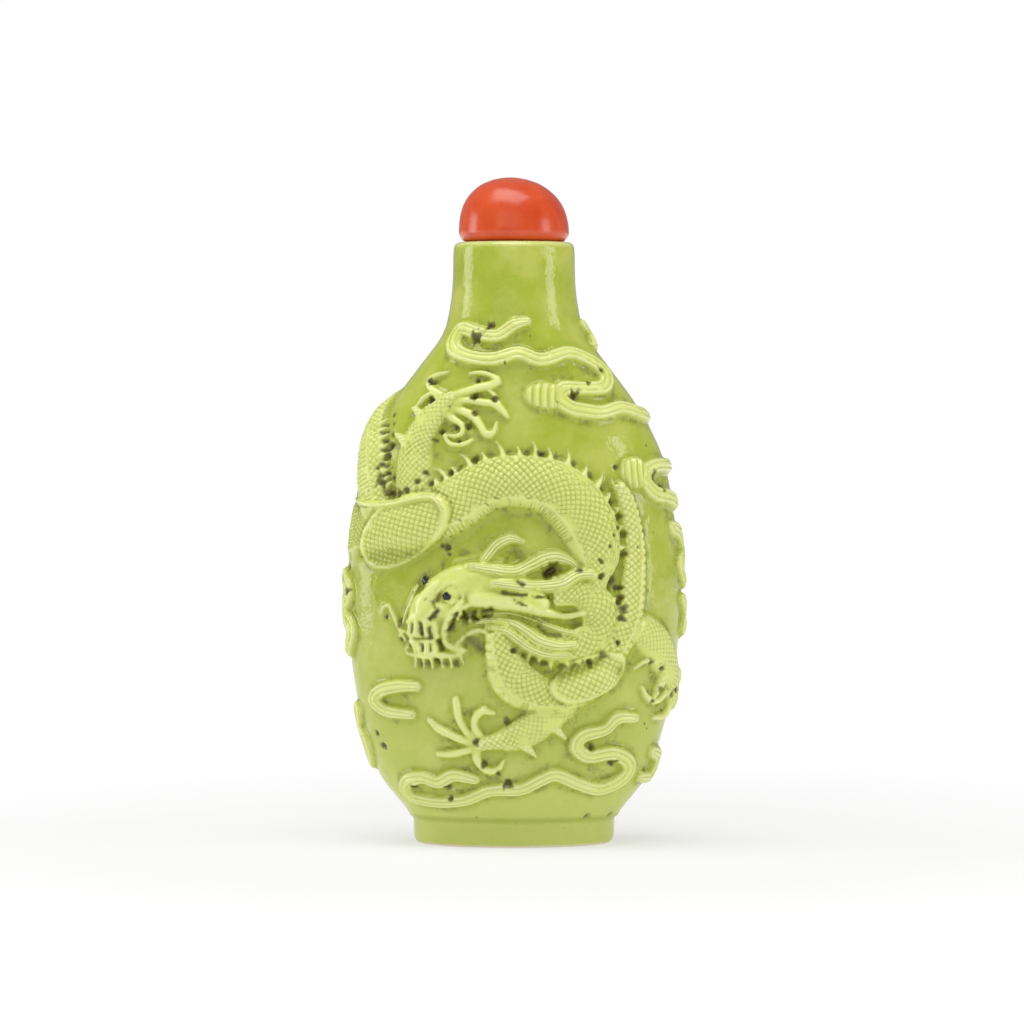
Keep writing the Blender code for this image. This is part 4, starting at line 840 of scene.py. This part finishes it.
def paintHead(clay):
    # masses first, then strands over them, furrows, teeth and eyes
    for points in head["masses"]:
        area, (s, t, q, w), length = clay.along(curve(points, 0.6))
        clay.raiseTo(area, head["height"] * rounded(q), q < 1)
    clay.base = blurred(clay.height, 2)
    for points, rise, hairs in head["strokes"]:
        paintStroke(clay, points, rise, hairs)
    for points, depth, pit in head["grooves"]:
        paintGroove(clay, points, depth, pit)
    for spot, rise, eye in head["dots"]:
        paintDot(clay, spot, rise, eye=eye)
    print("head painted")


def buildBottle():
    # heights painted, rounded off a little, and the fine patterns laid on last
    clay = Clay()
    paintDragon(clay)
    paintHead(clay)
    # pits painted dark inside as their shadow, then brown specks
    for angle, percent, radius in shadedPits:
        paintDot(clay, (angle, percent, radius), -0.3, pit=0.85)
    for angle, percent, radius in specks:
        paintDot(clay, (angle, percent, radius), -0.04, pit=0.8)
    clay.partPatterns()
    swell = (noise(clay.height.shape, 30, 3) - 0.5) * 0.06
    plain = clay.height * 0.5 + blurred(clay.height, 1) * 0.5 + swell
    carving = clay.carving()
    clay.height = plain + carving
    level = blockSizes(clay)
    print("blocks", [int((level == tier).sum()) for tier in range(4)])
    cell = np.pad(level.repeat(4, axis=0).repeat(4, axis=1), ((0, 1), (0, 0)), mode="edge")
    softer = [carving, blurred(carving, 1)]
    clay.height = plain + np.select([cell == 0, cell == 1], softer, blurred(carving, 3))
    # wider cells carry no pattern beside plain ground
    bare = blurred((clay.net == 0) * 1.0, 1) > 0.001
    clay.net[(cell > 0) & bare] = 0
    verts, loops, used = bottleMesh(clay, level)
    near, wide = blurred(plain, 2), blurred(plain, 7)
    pool = np.clip((near - plain) / 0.2, 0, 1) * 0.35 + np.clip((wide - plain) / 0.45, 0, 1) * 0.75
    fields = dict(fine=np.clip((plain - near) / 0.12, -1, 1), pool=np.clip(pool, 0, 1),
                  crestHighlight=np.clip((plain - wide) / 0.5, 0, 1), pit=np.clip(clay.pit, 0, 1), eye=clay.eye,
                  rise=plain, net=np.clip(clay.net / dragon["scaleHeight"], 0, 1),
                  slantA=clay.slants[0], slantB=clay.slants[1])
    whole = {name: np.zeros(len(verts)) for name in fields}
    for name, values in fields.items():
        whole[name][:len(used)] = values.ravel()[used]
    return meshObject("bottle_body", verts, loops, whole)


# stopper: dome as (share of height, share of radius)
stopper = dict(radius=6.28, height=7.36, lean=0.45, gap=0.04, clearance=0.25, plug=6.5, columns=96,
               dome=[(0.0, 0.87), (0.012, 0.91), (0.035, 0.945), (0.09, 0.985), (0.17, 1.0), (0.32, 0.985),
                     (0.47, 0.945), (0.6, 0.88), (0.71, 0.79), (0.81, 0.67), (0.9, 0.51), (0.965, 0.31)])


def buildStopper():
    # profile turned about the axis, its dome leaning a little as the square of the height
    base, length = bottle["height"] + stopper["gap"], stopper["plug"]
    plug, tall, wide = bottle["bore"] - stopper["clearance"], stopper["height"], stopper["radius"]
    profile = [(-length, 0.6 * plug), (-length + 0.05, 0.72 * plug), (-length + 0.2, 0.84 * plug),
               (-length + 0.5, 0.93 * plug), (-0.75 * length, 0.97 * plug), (-0.1, plug),
               (-0.02, plug + 0.04),
               (0.0, plug + 0.1), (0.0, 0.7 * wide)]
    dome = np.array(stopper["dome"])
    sweep = np.linspace(0, len(dome) - 1, 45)
    shares = [smooth(list(zip(range(len(dome)), dome[:, k])), sweep) for k in range(2)]
    profile += [(a * tall, b * wide) for a, b in zip(*shares)]
    profile += [(tall * 0.985, 0.19 * wide), (tall * 0.996, 0.1 * wide)]
    turns = np.linspace(0, 2 * math.pi, stopper["columns"] + 1)[:-1]
    n = len(turns)
    z, radius = np.array(profile).T
    shift = stopper["lean"] * np.clip(z / tall, 0, 1) ** 2
    x = radius[:, None] * np.sin(turns) - shift[:, None]
    y = -radius[:, None] * np.cos(turns)
    verts = np.stack([x, y, np.broadcast_to((base + z)[:, None], x.shape)], -1).reshape(-1, 3)
    verts = np.concatenate([verts, [[0, 0, base + z[0]], [-stopper["lean"], 0, base + tall]]])
    i, j = (part.ravel() for part in np.meshgrid(np.arange(len(z) - 1), np.arange(n), indexing="ij"))
    after = (j + 1) % n
    walls = np.stack([i * n + j, i * n + after, (i + 1) * n + after, (i + 1) * n + j], -1)
    j, last = np.arange(n), (len(z) - 1) * n
    bottom = np.stack([(j + 1) % n, j, np.full(n, len(verts) - 2)], -1)
    tip = np.stack([last + j, last + (j + 1) % n, np.full(n, len(verts) - 1)], -1)
    return meshObject("stopper_coral", verts, [walls, bottom, tip], {})


class Socket:
    # a node's output with arithmetic: each operator adds one Math node

    def __init__(self, finish, out):
        self.finish, self.out = finish, out

    def __add__(self, other):
        return self.finish.math("ADD", self, other)

    def __mul__(self, other):
        return self.finish.math("MULTIPLY", self, other)

    def __sub__(self, other):
        return self.finish.math("SUBTRACT", self, other)

    def __rsub__(self, other):
        return self.finish.math("SUBTRACT", other, self)

    def __pow__(self, other):
        return self.finish.math("POWER", self, other)

    def __abs__(self):
        return self.finish.math("ABSOLUTE", self)

    __radd__ = __add__
    __rmul__ = __mul__


class Finish:
    # one material or world and its nodes

    def __init__(self, made, shader):
        self.made = made
        made.use_nodes = True
        self.tree = made.node_tree
        self.shader = self.tree.nodes[shader]

    def put(self, target, value):
        if isinstance(value, Socket):
            self.tree.links.new(value.out, target)
        else:
            target.default_value = value

    def add(self, kind, settings, values, output=0):
        node = self.tree.nodes.new(kind)
        for name, value in settings.items():
            setattr(node, name, value)
        for name, value in values.items():
            self.put(node.inputs[name], value)
        return Socket(self, node.outputs[output])

    def math(self, operation, first, second=0.0):
        return self.add("ShaderNodeMath", dict(operation=operation), {0: first, 1: second})

    def carving(self):
        # the same pattern as the clay's, from 0 in a furrow to 1 on a pad
        waves = [abs(self.math("SINE", self.field(name) * math.pi)) for name in ("slantA", "slantB")]
        return (waves[0] * waves[1]) ** 0.5

    def field(self, name):
        return self.add("ShaderNodeAttribute", dict(attribute_name=name), {}, 2)

    def place(self):
        return self.add("ShaderNodeTexCoord", {}, {}, 3)

    def noise(self, scale, detail=2.0, rough=0.5):
        return self.add("ShaderNodeTexNoise", {}, {"Vector": self.place(), "Scale": scale, "Detail": detail,
                                                   "Roughness": rough})

    def cells(self, scale):
        return self.add("ShaderNodeTexVoronoi", dict(feature="F1"), {"Vector": self.place(), "Scale": scale})

    def between(self, value, low, high, start=0.0, end=1.0):
        return self.add("ShaderNodeMapRange", dict(clamp=True), {
            "Value": value, "From Min": low, "From Max": high, "To Min": start, "To Max": end})

    def blend(self, factor, first, second):
        return self.add("ShaderNodeMix", dict(data_type="RGBA"), {0: factor, 6: first, 7: second}, 2)

    def bump(self, height, strength, distance):
        return self.add("ShaderNodeBump", {}, {"Strength": strength, "Distance": distance, "Height": height})

    def set(self, **values):
        for name, value in values.items():
            self.put(self.shader.inputs[name.replace("_", " ")], value)


def srgb(red, green, blue):
    # picture values 0 to 255 to linear colour
    return tuple(((v / 255 + 0.055) / 1.055) ** 2.4 for v in (red, green, blue)) + (1.0,)


# glaze: pooled on the ground and in furrows, thin and pale over the relief, worn off the foot's edge;
# painted highlight on its crests, ridges and scale pads, and painted shadow in its pits and the head's
# furrows;
# then heights in metres of the line above the foot, of the lip's pale edge and of the low body painted paler
# as light
glaze = dict(ground=srgb(171, 186, 60), warm=srgb(194, 198, 92), shade=srgb(148, 168, 40),
             relief=srgb(227, 234, 130), pale=srgb(240, 242, 172), furrow=srgb(172, 184, 62),
             pool=srgb(154, 168, 46), pit=srgb(70, 54, 20), low=srgb(214, 222, 122),
             oliveMottleAndShadow=srgb(122, 118, 46), bare=srgb(226, 214, 186), eye=srgb(18, 22, 30),
             footLine=0.0031, lipLow=0.0679, lipHigh=0.0684, paintedLightFrom=0.03, paintedLightTo=0.006)


def glazeFinish():
    f = Finish(bpy.data.materials.new("lime_glaze"), "Principled BSDF")
    names = ("fine", "crestHighlight", "pool", "pit", "eye", "rise")
    fine, crestHighlight, pool, pit, eye, rise = (f.field(name) for name in names)
    colour = f.blend(f.between(f.noise(190.0, 4.0, 0.6), 0.4, 0.62) * 0.85, glaze["ground"], glaze["warm"])
    colour = f.blend(f.between(f.noise(90.0, 5.0, 0.65), 0.5, 0.7) * 0.6, colour, glaze["shade"])
    height = f.add("ShaderNodeSeparateXYZ", {}, {"Vector": f.place()}, 2)
    # painted light: the low body paler towards the foot, standing in for light from below
    colour = f.blend(f.between(height, glaze["paintedLightFrom"], glaze["paintedLightTo"]) * 0.5, colour, glaze["low"])
    # relief paler where its glaze is thin, with a painted highlight on its crests
    thin = f.between(rise, 0.1, 0.8) * 0.75 + crestHighlight * 0.25
    colour = f.blend(thin * f.between(f.noise(420.0, 3.0), 0.2, 0.6, 0.8, 1.0), colour, glaze["relief"])
    colour = f.blend(f.between(pool, 0.15, 0.95) * 0.5, colour, glaze["pool"])
    colour = f.blend(f.between(fine, -0.1, -0.9) * 0.75, colour, glaze["furrow"])
    # painted highlight on the tops of fine ridges
    colour = f.blend(f.between(fine, 0.25, 1.0) * 0.5, colour, glaze["pale"])
    carving, net = f.carving(), f.field("net")
    colour = f.blend(f.between(carving, 0.5, 0.1) * net * 0.55, colour, glaze["furrow"])
    # painted highlight on the scale pads
    colour = f.blend(f.between(carving, 0.7, 1.0) * net * 0.3, colour, glaze["pale"])
    dots = f.between(f.cells(430.0), 0.08, 0.05) * f.between(f.noise(230.0, 1.0), 0.59, 0.66)
    # darker olive patches by noise where the glaze pools beside the relief
    poolMottle = f.between(f.noise(700.0, 4.0, 0.7), 0.5, 0.64) * f.between(pool, 0.18, 0.6)
    colour = f.blend(dots * 0.6, colour, glaze["pit"])
    colour = f.blend(poolMottle * 0.7, colour, glaze["oliveMottleAndShadow"])
    # painted shadow in pits and the head's furrows, olive at the rim and dark brown deep in; the brown specks
    # share this ramp
    ragged = f.noise(1600.0, 3.0, 0.6)
    colour = f.blend(f.between(pit + ragged * 0.5, 0.3, 0.75) * 0.8, colour, glaze["oliveMottleAndShadow"])
    colour = f.blend(f.between(pit + ragged * 0.9, 0.95, 1.35) * 0.9, colour, glaze["pit"])
    colour = f.blend(eye, colour, glaze["eye"])
    colour = f.blend(f.between(abs(height - glaze["footLine"]), 0.0005, 0.0001) * 0.6, colour, glaze["pool"])
    colour = f.blend(f.between(height, glaze["lipLow"], glaze["lipHigh"]) * 0.5, colour, glaze["pale"])
    bare = f.between(height + f.noise(500.0) * 0.0002, 0.00042, 0.00028)
    colour = f.blend(bare, colour, glaze["bare"])
    skin = f.noise(260.0) * 2.0 + f.noise(800.0) * 0.7 + f.noise(2400.0) * 0.3 - dots
    f.set(Base_Color=colour, Roughness=f.between(f.noise(380.0), 0.3, 0.7, 0.1, 0.2) + bare * 0.5,
          Normal=f.bump(skin * 0.9 + carving * net * 0.9, 1.0, 0.0001), IOR=1.5)
    return f.made


coral = dict(base=srgb(205, 64, 18), light=srgb(217, 84, 32), dark=srgb(186, 44, 16), pit=srgb(120, 24, 12))


def coralFinish():
    # soft marbling, darker veins and a few pinholes, polished
    f = Finish(bpy.data.materials.new("coral"), "Principled BSDF")
    colour = f.blend(f.between(f.noise(220.0, 4.0, 0.6), 0.35, 0.68), coral["base"], coral["light"])
    colour = f.blend(f.between(f.noise(120.0, 3.0), 0.5, 0.75) * 0.7, colour, coral["dark"])
    pits = f.between(f.cells(330.0), 0.07, 0.03) * f.between(f.noise(140.0, 1.0), 0.55, 0.62)
    colour = f.blend(pits, colour, coral["pit"])
    f.set(Base_Color=colour, Roughness=f.between(f.noise(300.0), 0.3, 0.7, 0.18, 0.3),
          Normal=f.bump(f.noise(700.0, 3.0) * 0.4 - pits, 0.15, 0.0003), IOR=1.5)
    return f.made


def addLight(name, place, size, radiance, aim=(0, 0, 36)):
    # soft box facing the bottle, in millimetres; its power is pi times its radiance and area
    data = bpy.data.lights.new(name, "AREA")
    data.shape = "RECTANGLE"
    data.size, data.size_y = size[0] * mm, size[1] * mm
    data.energy = math.pi * radiance * data.size * data.size_y
    made = bpy.data.objects.new(name, data)
    scene.collection.objects.link(made)
    way = np.array(aim, float) - np.array(place, float)
    way /= np.linalg.norm(way)
    made.location = [v * mm for v in place]
    made.rotation_euler = Euler((math.acos(-way[2]), 0, math.atan2(way[1], way[0]) - math.pi / 2), "XYZ")


# studio: what the bottle reflects, the floor's paint and own light near and far,
# then boxes as (place, size, radiance)
studio = dict(world=0.34, seen=1.0, floor=0.4, near=0.54, far=1.0, floorSize=1600.0, boxes=dict(
    left=((-430, 40, 90), (150, 230), 3.6), right=((400, -130, 90), (130, 230), 3.8),
    top=((-40, -90, 500), (420, 300), 4.2), front=((-150, -640, 330), (560, 380), 0.8)))


def buildStudio():
    data = bpy.data.cameras.new("camera")
    data.lens, data.sensor_width = camera["lens"], camera["sensor"]
    data.clip_start, data.clip_end = 0.01, 20
    view = bpy.data.objects.new("camera", data)
    scene.collection.objects.link(view)
    view.location = (camera["side"] * mm, -camera["distance"] * mm, camera["height"] * mm)
    view.rotation_euler = (math.radians(90 - camera["pitch"]), 0, 0)
    scene.camera = view
    scene.view_settings.view_transform = "Standard"
    size = studio["floorSize"]
    corner = np.array([(x * size, y * size, -0.02) for x, y in ((-1, -1), (1, -1), (1, 1), (-1, 1))])
    floor = meshObject("floor", corner, [np.array([[0, 1, 2, 3]])], {})
    f = Finish(bpy.data.materials.new("floor_paint"), "Principled BSDF")
    away = f.add("ShaderNodeVectorMath", dict(operation="LENGTH"), {0: f.place()}, 1)
    own = f.between(away, 0.05, 0.35, studio["near"], studio["far"])
    f.set(Base_Color=(studio["floor"],) * 3 + (1.0,), Roughness=0.9, Emission_Color=own,
          Emission_Strength=1.0)
    floor.data.materials.append(f.made)
    scene.world = bpy.data.worlds.new("studio")
    sky = Finish(scene.world, "Background")
    ray = sky.add("ShaderNodeLightPath", {}, {})
    sky.set(Color=(1, 1, 1, 1), Strength=ray * (studio["seen"] - studio["world"]) + studio["world"])
    for name, (place, box, radiance) in studio["boxes"].items():
        addLight(name, place, box, radiance)
    print("studio ready")


def dress(piece, finish, node):
    piece.data.materials.append(finish)
    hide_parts(node)
    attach(piece, "root")


buildStudio()
dress(buildBottle(), glazeFinish(), "bottle")
dress(buildStopper(), coralFinish(), "stopper")
print("pieces dressed")
